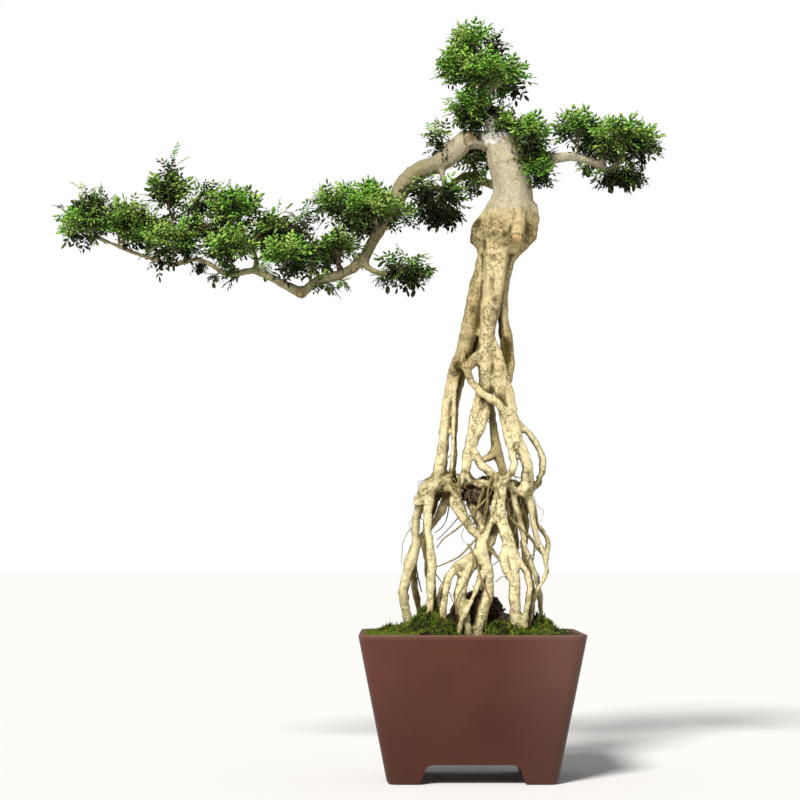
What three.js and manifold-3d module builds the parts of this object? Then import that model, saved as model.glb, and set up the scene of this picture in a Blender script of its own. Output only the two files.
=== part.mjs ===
// A hupeh ash bonsai in the raised-root style, in a deep footed clay pot.
// Millimetres, +Z up, seen from the front along +Y. The origin is the middle of the ground that the whole
// tree covers, so the pot stands to the right of it and the long falling branch reaches to the left.
import * as THREE from 'three';
import { LoftGeometry } from 'three/addons/geometries/LoftGeometry.js';
import { mergeVertices } from 'three/addons/utils/BufferGeometryUtils.js';
import Module from 'manifold-3d';

const wasm = await Module();
wasm.setup();
const { Manifold, Mesh } = wasm;

// Driving dimensions
const TREE_X = 182; // from the middle of the ground that the whole tree covers to the foot of the trunk
const POT_X = -6; // the pot's middle, seen from the foot of the trunk
const POT_HEIGHT = 232;
const RIM = { x: 356, y: 262 }; // outside, over the rim
const FOOT = { x: 266, y: 184 }; // outside, at the floor
const RIM_CORNER = 22; // corner radius over the rim
const FOOT_CORNER = 15;
const WALL = 12;
const FEET_HEIGHT = 31; // from the floor to the underside of the pot
const POT_FLOOR = 14; // thickness of the pot's own floor
const APRON = 17; // thickness of the footed skirt under the pot
const ARCH_FRONT = { foot: 163, crown: 123 }; // width of the front arch at the floor and at its crown
const ARCH_SIDE = { foot: 96, crown: 58 };
const DRAIN = { radius: 13, x: 62 }; // two drain holes, left and right of the middle
const GAP = 0.35; // clearance that keeps neighbouring solids apart
const SCREEN = { side: 46, thick: 1.4, hole: 9, pitch: 14, across: 3 }; // mesh squares over the drain holes
const GRIT_LOW = FEET_HEIGHT + POT_FLOOR + GAP; // bottom of what fills the pot
const GRIT_DEPTH = 26; // coarse drainage layer under the soil
const SOIL_TOP = 220;
const LEAF_LENGTH = 43;
const LEAF_THICK = 0.9;
const SEED = 20;

// A mesh in three.js form as a closed solid.
function solidOf(geometry) {
  const plain = new THREE.BufferGeometry();
  plain.setAttribute('position', geometry.getAttribute('position'));
  plain.setIndex(geometry.getIndex());
  const merged = mergeVertices(plain, 1e-4);
  return new Manifold(
    new Mesh({
      numProp: 3,
      vertProperties: new Float32Array(merged.getAttribute('position').array),
      triVerts: new Uint32Array(merged.getIndex().array),
    }),
  );
}

// A solid back as three.js geometry.
function geometryOf(solid) {
  const mesh = solid.getMesh();
  const geometry = new THREE.BufferGeometry();
  const places = new Float32Array(mesh.numVert * 3);
  for (let i = 0; i < mesh.numVert; i++) {
    places.set(mesh.vertProperties.subarray(i * mesh.numProp, i * mesh.numProp + 3), i * 3);
  }
  geometry.setAttribute('position', new THREE.BufferAttribute(places, 3));
  geometry.setIndex(new THREE.BufferAttribute(mesh.triVerts, 1));
  return geometry;
}

// The largest body of a solid, with any hollow that the joining sealed filled in and loose scraps dropped.
function mainBody(solid) {
  return solid.decompose().reduce((best, body) => (body.volume() > best.volume() ? body : best));
}

// A repeatable random number from 0 to 1.
function randomFrom(seed) {
  let state = seed;
  return () => {
    state = (state + 0x6d2b79f5) | 0;
    let t = Math.imul(state ^ (state >>> 15), 1 | state);
    t = (t + Math.imul(t ^ (t >>> 7), 61 | t)) ^ t;
    return ((t ^ (t >>> 14)) >>> 0) / 4294967296;
  };
}

// The pot

// A rectangle with round corners round the pot's middle at one height, counter-clockwise, for a loft.
function roundedSection(halfX, halfY, corner, z) {
  const stepsPerCorner = 4;
  const points = [];
  for (let quarter = 0; quarter < 4; quarter++) {
    const signX = quarter === 0 || quarter === 3 ? 1 : -1;
    const signY = quarter < 2 ? 1 : -1;
    for (let i = 0; i <= stepsPerCorner; i++) {
      const angle = (quarter + i / stepsPerCorner) * (Math.PI / 2);
      points.push(
        new THREE.Vector3(
          POT_X + signX * (halfX - corner) + corner * Math.cos(angle),
          signY * (halfY - corner) + corner * Math.sin(angle),
          z,
        ),
      );
    }
  }
  return points;
}

// The pot's outside at a height, brought in by an inset.
function potSection(z, inset) {
  const up = z / POT_HEIGHT;
  return roundedSection(
    THREE.MathUtils.lerp(FOOT.x, RIM.x, up) / 2 - inset,
    THREE.MathUtils.lerp(FOOT.y, RIM.y, up) / 2 - inset,
    Math.max(THREE.MathUtils.lerp(FOOT_CORNER, RIM_CORNER, up) - inset, 4),
    z,
  );
}

function loft(sections) {
  return solidOf(new LoftGeometry(sections, { capStart: true, capEnd: true }));
}

// A space inside the pot from one height to another, a given distance in from its outside.
function potSpace(low, high, inset) {
  return loft([potSection(low, inset), potSection(high, inset)]);
}

// The outline of an arch cut through the skirt: straight crown, hollow shoulders, flared foot.
function archCutter(arch, reach) {
  const crown = arch.crown / 2;
  const foot = arch.foot / 2;
  const shoulder = crown + 0.62 * (foot - crown);
  const outline = new THREE.Shape();
  outline.moveTo(-foot - 6, -2);
  outline.quadraticCurveTo(-foot, 1, -foot + 2, FEET_HEIGHT * 0.3);
  outline.quadraticCurveTo(-shoulder, FEET_HEIGHT, -crown, FEET_HEIGHT);
  outline.lineTo(crown, FEET_HEIGHT);
  outline.quadraticCurveTo(shoulder, FEET_HEIGHT, foot - 2, FEET_HEIGHT * 0.3);
  outline.quadraticCurveTo(foot, 1, foot + 6, -2);
  const swept = { depth: 2 * reach, bevelEnabled: false, curveSegments: 5 };
  const cut = new THREE.ExtrudeGeometry(outline, swept);
  cut.translate(0, 0, -reach);
  cut.rotateX(Math.PI / 2);
  return cut;
}

function makePot() {
  const outside = loft([
    potSection(0, 4.5),
    potSection(1.4, 1.8),
    potSection(5, 0),
    potSection(POT_HEIGHT - 1.5, 0),
    potSection(POT_HEIGHT, 1.2),
  ]);
  const inside = potSpace(FEET_HEIGHT + POT_FLOOR, POT_HEIGHT + 5, WALL);
  const underside = potSpace(-5, FEET_HEIGHT, APRON);
  const sideArch = archCutter(ARCH_SIDE, RIM.x);
  sideArch.rotateZ(Math.PI / 2);
  let pot = outside.subtract(inside).subtract(underside);
  const frontArch = archCutter(ARCH_FRONT, RIM.y).translate(POT_X, 0, 0);
  pot = pot.subtract(solidOf(frontArch)).subtract(solidOf(sideArch));
  for (const side of [-1, 1]) {
    const hole = new THREE.CylinderGeometry(DRAIN.radius, DRAIN.radius, 3 * POT_FLOOR, 20);
    hole.rotateX(Math.PI / 2);
    hole.translate(POT_X + side * DRAIN.x, 0, FEET_HEIGHT + POT_FLOOR / 2);
    pot = pot.subtract(solidOf(hole));
  }
  return pot;
}

// A box as a solid, from its size and middle.
function block(size, centre) {
  return solidOf(new THREE.BoxGeometry(...size).translate(...centre));
}

// A square of plastic mesh that keeps the grit in over a drain hole.
function makeScreen(side) {
  const centre = [POT_X + side * DRAIN.x, 0, GRIT_LOW + SCREEN.thick / 2];
  const holes = [];
  for (let i = 0; i < SCREEN.across; i++) {
    for (let j = 0; j < SCREEN.across; j++) {
      const x = centre[0] + (i - (SCREEN.across - 1) / 2) * SCREEN.pitch;
      const y = (j - (SCREEN.across - 1) / 2) * SCREEN.pitch;
      holes.push(block([SCREEN.hole, SCREEN.hole, 3 * SCREEN.thick], [x, y, centre[2]]));
    }
  }
  return block([SCREEN.side, SCREEN.side, SCREEN.thick], centre).subtract(Manifold.union(holes));
}

// The tree's wood: each limb is a centreline of [x, y, z, radius] from the floor under the foot of the trunk
const LIMBS = {
  // trunk and the swollen old graft at its foot
  stem: [[42, 0, 1062, 16], [46, 0, 1040, 25], [52, 0, 1009, 29], [62, 0, 976, 31], [66, 0, 953, 31.5],
    [65, 0, 934, 34], [62, 0, 915, 41], [54, 0, 892, 44], [49, 0, 869, 39], [46, 0, 846, 28]],
  top_stub: [[43, 0, 1050, 19], [45, 3, 1066, 12], [42, 5, 1080, 4.5]],
  knob_left: [[31, -8, 905, 15], [15, -6, 891, 15.5], [13, -4, 871, 14.5], [21, -2, 848, 12.5]],
  knob_right: [[86, 0, 924, 20], [91, -2, 903, 17.5], [87, -2, 880, 17], [68, 0, 853, 14.5]],
  knob_front: [[56, -14, 916, 22], [46, -20, 896, 24], [43, -19, 878, 19]],
  knob_back: [[59, 14, 926, 32], [56, 20, 892, 32], [50, 14, 858, 25]],
  cut_stub: [[76, -22, 922, 12], [74, -38, 894, 9.5], [70, -46, 872, 8.6], [68, -55, 860, 8.2]],
  // columns that fuse into the lower trunk
  column_left: [[29, 4, 863, 16], [20, 4, 833, 13], [8, 2, 795, 13.5], [0, 0, 753, 13.5],
    [-8, 0, 712, 14.5], [-14, 0, 684, 13], [-24, 0, 660, 11]],
  column_mid: [[41, -12, 867, 23], [36, -14, 830, 19], [34, -14, 792, 17], [30, -14, 760, 15.5],
    [24, -13, 727, 13.5], [21, -12, 695, 13.5], [20, -12, 670, 12.5], [19, -11, 644, 10.5], [18, -9, 618, 9]],
  column_right: [[68, 0, 859, 16], [56, 4, 833, 12.5], [48, 6, 795, 10], [48, 6, 757, 9.5], [52, 6, 728, 8.5],
    [59, 6, 695, 7], [61, 2, 665, 7.5], [56, -4, 636, 7]],
  column_right_inner: [[48, 8, 780, 8], [48, 11, 735, 7], [51, 13, 697, 6.5], [57, 6, 664, 6]],
  column_back: [[46, 22, 864, 21], [36, 24, 823, 17], [26, 24, 773, 14], [19, 22, 723, 13],
    [6, 14, 684, 12], [-14, 8, 664, 9]],
  // upper storey of roots
  leg_left: [[-22, 0, 671, 12.5], [-33, 0, 642, 10.5], [-42, 0, 606, 9], [-45, 0, 565, 9.2],
    [-49, 0, 528, 9.3], [-53, 0, 496, 11], [-59, 0, 470, 13.4]],
  leg_left_front: [[-22, -6, 660, 5.2], [-30, -12, 621, 3.6], [-32, -12, 581, 3.6], [-33, -11, 540, 3.2],
    [-35, -12, 505, 3.2], [-37, -14, 479, 4.2], [-47, -13, 458, 4.2]],
  leg_left_back: [[-15, 8, 669, 9.2], [-20, 12, 632, 5.4], [-28, 13, 599, 5.2], [-31, 13, 558, 5.1],
    [-31, 13, 517, 5.1], [-35, 10, 478, 5.8]],
  snag: [[-16, -8, 672, 9], [-28, -14, 662, 8.6], [-37, -18, 651, 5]],
  cross_root: [[25, -16, 692, 10.4], [6, -18, 673, 9.6], [-12, -18, 655, 7.8], [-4, -20, 634, 6.2],
    [13, -24, 615, 6.2], [36, -26, 601, 6.2], [50, -21, 584, 6.5], [59, -13, 562, 5.2]],
  leg_mid: [[19, -9, 631, 10.8], [9, -8, 607, 8.4], [2, -7, 576, 8.4], [-4, -7, 544, 8.4],
    [-11, -9, 511, 7.9], [-14, -12, 482, 8.4]],
  leg_mid_fork: [[20, -8, 626, 9.6], [22, -5, 592, 7.9], [12, -6, 562, 7.7], [-1, -7, 533, 7.2]],
  leg_inner: [[21, 0, 624, 10.4], [31, 17, 588, 6.5], [35, 22, 552, 7], [39, 22, 526, 8.1],
    [46, 20, 503, 6.5], [49, 16, 476, 6.5]],
  leg_inner_fork: [[39, 22, 526, 6.9], [26, 14, 514, 6.1], [9, 2, 505, 6.3]],
  leg_right: [[24, -12, 708, 9.5], [36, -12, 677, 11.5], [46, -12, 642, 11.6], [56, -12, 607, 11.4],
    [62, -12, 576, 10.3], [70, -10, 547, 9.3], [80, -8, 521, 9.1], [88, -6, 495, 9.6],
    [86, -6, 469, 10.9], [74, -8, 450, 10.3]],
  leg_right_inner: [[30, -13, 655, 6.5], [38, -14, 615, 4.7], [46, -10, 586, 5.5], [53, -8, 553, 5.5],
    [60, -10, 524, 5.5], [66, -14, 503, 6], [60, -20, 485, 5.5], [46, -25, 472, 5.2],
    [36, -22, 462, 5.2]],
  leg_outer: [[67, -8, 570, 7.4], [89, -2, 552, 5.2], [103, 2, 533, 5.2], [113, 4, 510, 5.7],
    [111, 4, 488, 5.4], [104, 2, 470, 5.7], [88, -4, 456, 6.8]],
  knee: [[-14, -12, 489, 8], [-5, -16, 474, 7.4], [13, -18, 469, 7.1], [36, -14, 470, 8]],
  brace: [[-3, -7, 528, 5.8], [12, -6, 500, 6.9], [26, -8, 487, 7.6], [43, -13, 475, 8.5]],
  // the ledge of tangled roots between the two storeys
  shoulder_left: [[-30, 2, 486, 6.9], [-48, 0, 476, 10.3], [-66, -2, 471, 9.7], [-80, -6, 465, 6.9],
    [-90, -10, 453, 4.6], [-96, -12, 435, 3]],
  shoulder_crust: [[-36, -8, 478, 7], [-54, -12, 470, 9], [-72, -12, 462, 8], [-84, -12, 448, 5.6],
    [-88, -12, 434, 3.4]],
  shoulder_back: [[-50, 6, 474, 9.2], [-34, 24, 472, 9.2], [-4, 34, 469, 10.3], [32, 34, 474, 10.3],
    [64, 26, 467, 9.4], [84, 4, 460, 8.5]],
  // lower storey of roots, down into the soil
  toe_left_a: [[-60, -4, 470, 9], [-71, -14, 450, 7.4], [-75, -20, 424, 6.7], [-74, -24, 398, 6.3],
    [-71, -28, 370, 6.7], [-68, -30, 338, 7.4], [-70, -32, 306, 6.7], [-71, -34, 262, 6.5],
    [-71, -34, 206, 5.6]],
  toe_left_b: [[-68, 0, 468, 8.4], [-83, 0, 444, 7.2], [-92, 0, 416, 7.2], [-95, 0, 392, 6.7],
    [-92, 0, 373, 7.2], [-97, -4, 350, 7.9], [-108, -8, 325, 7.9], [-114, -10, 296, 7.7],
    [-111, -10, 270, 7.9], [-101, -10, 238, 7.9], [-96, -10, 204, 6]],
  toe_left_c: [[-38, 8, 468, 8], [-52, 16, 426, 6.7], [-67, 18, 402, 4.8], [-83, 12, 388, 4.6],
    [-98, 2, 368, 4.4], [-109, -2, 347, 3.9], [-112, -6, 324, 3.9]],
  toe_left_d: [[-89, 3, 382, 5.1], [-94, 18, 360, 4.6], [-98, 26, 331, 4.8], [-95, 32, 302, 5.3],
    [-88, 36, 266, 5.5], [-84, 38, 204, 4.6]],
  waist_a: [[-12, -12, 484, 7.4], [-34, -14, 460, 6.4], [-34, -14, 439, 6.7], [-21, -12, 418, 6.2],
    [-8, -10, 400, 5.5], [7, -10, 386, 5.8]],
  waist_b: [[-24, -14, 474, 5.1], [-23, -20, 435, 3.9], [-10, -18, 410, 3.9], [5, -13, 388, 4.1]],
  waist_c: [[-5, 26, 468, 8], [-5, 12, 444, 6.9], [4, 2, 421, 7.6], [15, -4, 399, 8.5],
    [11, -10, 373, 8.7], [9, -14, 352, 9.7]],
  waist_d: [[38, -18, 466, 5.8], [32, -24, 438, 4.8], [29, -22, 414, 4.8], [21, -17, 392, 5.8],
    [13, -13, 368, 6.2]],
  waist_e: [[38, -4, 466, 6.9], [36, 2, 424, 6.9], [34, -2, 395, 6.7], [24, -8, 370, 6.2]],
  foot_mid_a: [[8, -14, 360, 9.2], [-7, -24, 349, 7.8], [-27, -34, 338, 7.1], [-41, -40, 322, 6.4],
    [-46, -42, 300, 5.5], [-51, -44, 268, 5.8], [-53, -44, 206, 5.1]],
  foot_mid_a_twin: [[-39, -38, 325, 5.3], [-50, -30, 306, 4.8], [-58, -20, 284, 4.8],
    [-61, -16, 206, 4.6]],
  foot_mid_b: [[6, -14, 354, 10.3], [-7, -24, 338, 9.7], [-19, -32, 319, 9.4], [-24, -38, 293, 9.9],
    [-19, -42, 265, 9.9], [-13, -44, 238, 8.5], [-9, -44, 204, 6.9]],
  foot_mid_c: [[11, -12, 366, 10.3], [20, -18, 334, 9.7], [23, -22, 309, 9.2], [20, -26, 287, 9],
    [12, -30, 265, 9.4], [5, -34, 238, 9.4], [0, -36, 204, 6.9]],
  foot_mid_d: [[14, -28, 330, 5.8], [2, -40, 300, 4.1], [-8, -50, 278, 4.1], [-22, -57, 254, 4.1],
    [-28, -60, 206, 3.4]],
  leg_big: [[47, -12, 480, 9.5], [42, -18, 456, 9.1], [40, -22, 430, 8.9], [44, -26, 408, 9.3],
    [52, -30, 384, 9.7], [58, -34, 360, 10.6], [61, -36, 335, 9.3], [63, -38, 306, 8.6],
    [64, -40, 275, 8.4], [63, -42, 240, 8.9], [62, -42, 204, 7.1]],
  leg_big_fork: [[51, -32, 378, 5.8], [44, -42, 350, 5.1], [49, -44, 331, 5.1], [61, -40, 310, 5.3]],
  leg_big_right: [[59, -33, 366, 6.4], [72, -34, 344, 5.1], [83, -36, 327, 5.1], [88, -38, 303, 4.8],
    [84, -40, 278, 4.8], [79, -42, 248, 5.1], [77, -42, 206, 4.1]],
  ankle_a: [[57, -6, 474, 8], [65, -4, 444, 5.8], [73, -2, 418, 5.3], [80, 0, 392, 4.8],
    [83, 2, 366, 4.6], [91, 4, 344, 4.6], [102, 6, 318, 4.4], [107, 8, 292, 3.7], [109, 10, 260, 3.4],
    [109, 10, 206, 3.4]],
  ankle_b: [[84, -2, 464, 8], [93, 0, 431, 5.1], [97, 0, 405, 4.6], [104, 0, 376, 4.6],
    [115, 0, 354, 4.1], [118, 0, 331, 3.9], [111, -6, 312, 3.9], [99, -14, 299, 4.1], [92, -20, 277, 4.1],
    [88, -24, 248, 4.6], [87, -24, 206, 3.9]],
  ankle_c: [[90, 2, 450, 5.1], [100, 10, 425, 3.7], [103, 12, 405, 3.7], [115, 14, 391, 3.4],
    [122, 10, 376, 3.4], [117, 2, 348, 3.9]],
  ankle_d: [[74, 14, 466, 8], [81, 16, 431, 6.2], [86, 22, 405, 5.8], [83, 30, 371, 5.8],
    [88, 38, 337, 5.8], [97, 46, 298, 5.8], [94, 52, 252, 6], [92, 54, 206, 5.1]],
  // roots behind, that carry the back of the ledge
  rear_a: [[-42, 20, 470, 9.2], [-63, 34, 445, 7.8], [-73, 44, 409, 7.4], [-75, 52, 363, 7.8],
    [-68, 60, 314, 7.8], [-65, 66, 258, 8], [-64, 68, 206, 6.4]],
  rear_b: [[7, 36, 470, 10.3], [19, 46, 437, 8.7], [26, 52, 396, 8.7], [22, 58, 347, 8.7],
    [16, 64, 298, 9.2], [9, 70, 248, 8.7], [7, 72, 206, 6.9]],
  rear_c: [[50, 32, 472, 9.2], [63, 42, 432, 8.3], [68, 50, 393, 7.8], [67, 56, 347, 7.8],
    [68, 62, 298, 8], [72, 68, 248, 7.8], [73, 70, 206, 6.2]],
  // branches: the long falling one, its outer end, the right one and a short one behind
  arm: [[46, 0, 1040, 25], [24, 0, 1032, 16.5], [4, -2, 1035, 15.5], [-11, -3, 1034, 16.5],
    [-25, -4, 1019, 17], [-41, -5, 1004, 15.6], [-60, -8, 992, 14.2], [-80, -10, 984, 14.6],
    [-98, -14, 973, 15], [-113, -18, 954, 14.6], [-124, -22, 934, 13.4], [-134, -26, 912, 11.4],
    [-147, -30, 890, 9.8], [-159, -32, 870, 9], [-169, -34, 850, 8.4], [-178, -36, 828, 8.4]],
  arm_tip: [[-174, -36, 838, 8.4], [-196, -38, 815, 8.2], [-219, -38, 805, 7.8], [-245, -38, 797, 7.4],
    [-264, -38, 786, 7.6], [-277, -38, 775, 8.6], [-292, -38, 783, 7.4], [-312, -36, 793, 6.4],
    [-332, -34, 804, 5.8], [-355, -32, 813, 5.4], [-374, -30, 811, 5], [-394, -30, 806, 4.8],
    [-410, -30, 813, 4.6], [-427, -28, 825, 4.2], [-446, -26, 833, 4], [-466, -24, 829, 4],
    [-489, -22, 824, 4.2], [-512, -20, 831, 3.8], [-532, -18, 838, 3.4], [-555, -16, 846, 3.2],
    [-578, -16, 856, 3], [-601, -14, 866, 2.8], [-624, -12, 873, 2.6]],
  arm_knuckle: [[-275, -36, 781, 8.6], [-281, -48, 772, 7.4]],
  right_arm: [[66, 0, 1017, 18], [91, 0, 1011, 12.6], [111, -2, 1006, 10.8], [128, -4, 1002, 9.2],
    [146, -6, 1005, 7.4], [167, -8, 1004, 6.2], [188, -10, 999, 6], [208, -12, 989, 6],
    [222, -14, 980, 5.8], [234, -14, 990, 5.2], [244, -14, 1007, 4.6], [248, -14, 1024, 3.4]],
  right_arm_fork: [[205, -12, 991, 5], [218, -24, 1002, 4], [226, -34, 1018, 3]],
  back_arm: [[55, 12, 958, 12], [36, 26, 965, 8], [20, 34, 971, 6.2], [4, 38, 984, 5.4],
    [-13, 40, 983, 5.2], [-26, 40, 974, 5], [-39, 38, 962, 4]],
  arm_under: [[-52, -8, 984, 7], [-50, -22, 970, 4], [-46, -34, 955, 3.2], [-50, -42, 938, 2.6]],
  crown_neck: [[40, 0, 1055, 19], [32, 0, 1068, 13.4], [24, 0, 1085, 8.6], [16, 0, 1105, 7],
    [13, 0, 1128, 5.4], [16, 0, 1155, 4.4], [13, 0, 1180, 3]],
  crown_right: [[16, 0, 1106, 5.4], [33, 4, 1122, 4.4], [51, 6, 1133, 3.6], [64, 6, 1142, 2.8]],
  arm_fork_low: [[-181, -36, 827, 6], [-165, -42, 812, 4.6], [-146, -46, 806, 4], [-128, -46, 800, 3]],
  arm_fork_up: [[-352, -32, 812, 4.6], [-352, -24, 834, 3.8], [-362, -18, 858, 3.4], [-378, -12, 880, 3]],
  arm_fork_far: [[-462, -24, 830, 4], [-474, -16, 852, 3.4], [-486, -8, 876, 3], [-492, -4, 902, 2.6]],
};
const FLUTED = /^(stem|knob|column|arm$)/; // the old wood, whose limbs have ribs

// How many sides a limb of a given greatest radius has.
function sidesFor(radius) {
  if (radius > 28) return 11;
  if (radius > 20) return 8;
  if (radius > 8) return 6;
  return radius > 4.2 ? 5 : 4;
}

// A limb as a loft of rings along a smooth line through its points. Ribs make an old trunk's flutes. A ring's
// corners stand out so far that the ring has the area of the round limb.
function limb(points, grow, ribs) {
  const places = points.map(([x, y, z]) => new THREE.Vector3(x, y, z));
  const line = new THREE.CatmullRomCurve3(places, false, 'centripetal');
  const widest = Math.max(...points.map((point) => point[3]));
  const sides = sidesFor(widest);
  const corner = (2 * Math.PI) / sides;
  const fullness = Math.sqrt(corner / Math.sin(corner));
  const spans = points.length - 1;
  const stations = [];
  for (let i = 0; i < spans; i++) {
    stations.push(i);
    if (places[i].distanceTo(places[i + 1]) > 30 + widest) stations.push(i + 0.5);
  }
  stations.push(spans);
  let across = new THREE.Vector3(0, 1, 0);
  const sections = stations.map((station) => {
    const place = line.getPoint(station / spans);
    const along = line.getTangent(station / spans);
    across = across.clone().addScaledVector(along, -across.dot(along)).normalize();
    const up = new THREE.Vector3().crossVectors(along, across);
    const before = Math.min(Math.floor(station), spans - 1);
    const thick = THREE.MathUtils.lerp(points[before][3], points[before + 1][3], station - before);
    const radius = fullness * thick + grow;
    const ring = [];
    for (let i = 0; i < sides; i++) {
      const angle = i * corner;
      const rib = 1 + ribs * (Math.sin(3 * angle + place.z / 40) + 0.6 * Math.sin(5 * angle - place.z / 23));
      ring.push(
        place
          .clone()
          .addScaledVector(across, radius * rib * Math.cos(angle))
          .addScaledVector(up, radius * rib * Math.sin(angle)),
      );
    }
    return ring;
  });
  return loft(sections);
}

// All the limbs fused. grow makes the fatter copy that cuts the neighbours clear.
function makeWood(grow) {
  const limbs = Object.entries(LIMBS).map(([name, points]) =>
    limb(points, grow, FLUTED.test(name) ? 0.035 : 0),
  );
  return mainBody(Manifold.union(limbs));
}

// A rough lump: a ball whose surface is pushed in and out by a few waves.
function lumpOf({ centre, half, detail, roughness }) {
  const bare = new THREE.IcosahedronGeometry(1, detail).deleteAttribute('normal').deleteAttribute('uv');
  const ball = mergeVertices(bare);
  const place = ball.getAttribute('position');
  const point = new THREE.Vector3();
  for (let i = 0; i < place.count; i++) {
    point.fromBufferAttribute(place, i);
    const sideways = Math.sin(7 * point.x + centre[0]) * Math.cos(6 * point.z + centre[2]);
    const wave = sideways + Math.sin(9 * point.y + centre[2]);
    point.multiplyScalar(1 + roughness * wave);
    point.set(centre[0] + half[0] * point.x, centre[1] + half[1] * point.y, centre[2] + half[2] * point.z);
    place.setXYZ(i, point.x, point.y, point.z);
  }
  return solidOf(ball);
}

// Peat: a dark mound on the soil behind the feet, and the clod left in the ledge of roots
const PEAT_MOUND = { centre: [8, 24, SOIL_TOP + 12], half: [52, 32, 62], detail: 3, roughness: 0.09 };
const PEAT_CLOD = { centre: [14, 8, 454], half: [32, 22, 21], detail: 1, roughness: 0.1 };

function makePeat(peat, wood) {
  const above = lumpOf(peat).trimByPlane([0, 0, 1], SOIL_TOP + GAP);
  return mainBody(above.subtract(wood));
}

// Moss: two cushions of relief on the soil, left and right of a bare strip. thick is away from the mounds.
const MOSS = {
  moss_left: {
    low: [-165, -114], high: [-4, 112], thick: 11,
    mounds: [[-73, -14, 53, 26], [-56, -60, 22, 28], [-122, 40, 8, 30], [-40, 60, 14, 40]],
  },
  moss_right: {
    low: [6, -114], high: [152, 112], thick: 8,
    mounds: [[106, -4, 36, 17], [46, -54, 22, 30], [48, 66, 12, 40], [126, 40, 4, 30]],
  },
};

// Height of a moss cushion over the soil: base, mounds as bells and a quilted relief. It dies at the edge.
function mossHeight(moss, x, y, inward) {
  let height = moss.thick;
  for (const [moundX, moundY, rise, spread] of moss.mounds) {
    height += rise * Math.exp(-((x - moundX) ** 2 + (y - moundY) ** 2) / (spread * spread));
  }
  height += 1.6 * Math.sin(x / 5.1 + Math.sin(y / 7)) * Math.cos(y / 4.7);
  return 1.5 + height * Math.min(1, inward * 4);
}

// A closed skin over rings of points, the first on the ground, with a middle point below and another on top.
function domeOver(rings, below, above) {
  const columns = rings[0].length;
  const points = rings.flat();
  const corners = [];
  for (let row = 0; row < rings.length; row++) {
    for (let i = 0; i < columns; i++) {
      const here = row * columns + i;
      const beside = row * columns + ((i + 1) % columns);
      if (row === 0) corners.push(points.length, beside, here);
      if (row < rings.length - 1) {
        corners.push(here, beside, beside + columns);
        corners.push(here, beside + columns, here + columns);
      } else {
        corners.push(here, beside, points.length + 1);
      }
    }
  }
  const dome = new THREE.BufferGeometry().setFromPoints([...points, below, above]);
  dome.setIndex(corners);
  return solidOf(dome);
}

function makeMoss(moss, keepOut) {
  const rings = 4;
  const sectors = 18;
  const centre = [(moss.low[0] + moss.high[0]) / 2, (moss.low[1] + moss.high[1]) / 2];
  const half = [(moss.high[0] - moss.low[0]) / 2, (moss.high[1] - moss.low[1]) / 2];
  const base = SOIL_TOP + GAP;
  // Makes the ellipse an oblong with round corners
  const rounded = (value) => Math.sign(value) * Math.abs(value) ** 0.62;
  const pointAt = (share, angle) => {
    const ragged = share * (1 - 0.02 * (1 + Math.sin(5 * angle + moss.low[0])));
    const x = centre[0] + half[0] * ragged * rounded(Math.cos(angle));
    const y = centre[1] + half[1] * ragged * rounded(Math.sin(angle));
    return new THREE.Vector3(x, y, base + mossHeight(moss, x, y, 1 - share));
  };
  const step = (2 * Math.PI) / sectors;
  const ringAt = (share) => Array.from({ length: sectors }, (_, i) => pointAt(share, i * step));
  const edge = ringAt(1);
  const foot = edge.map((point) => new THREE.Vector3(point.x, point.y, base));
  const all = [foot, edge];
  for (let i = 1; i < rings; i++) all.push(ringAt(1 - i / rings));
  const below = new THREE.Vector3(centre[0], centre[1], base);
  return mainBody(domeOver(all, below, pointAt(0, 0)).subtract(keepOut));
}

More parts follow.
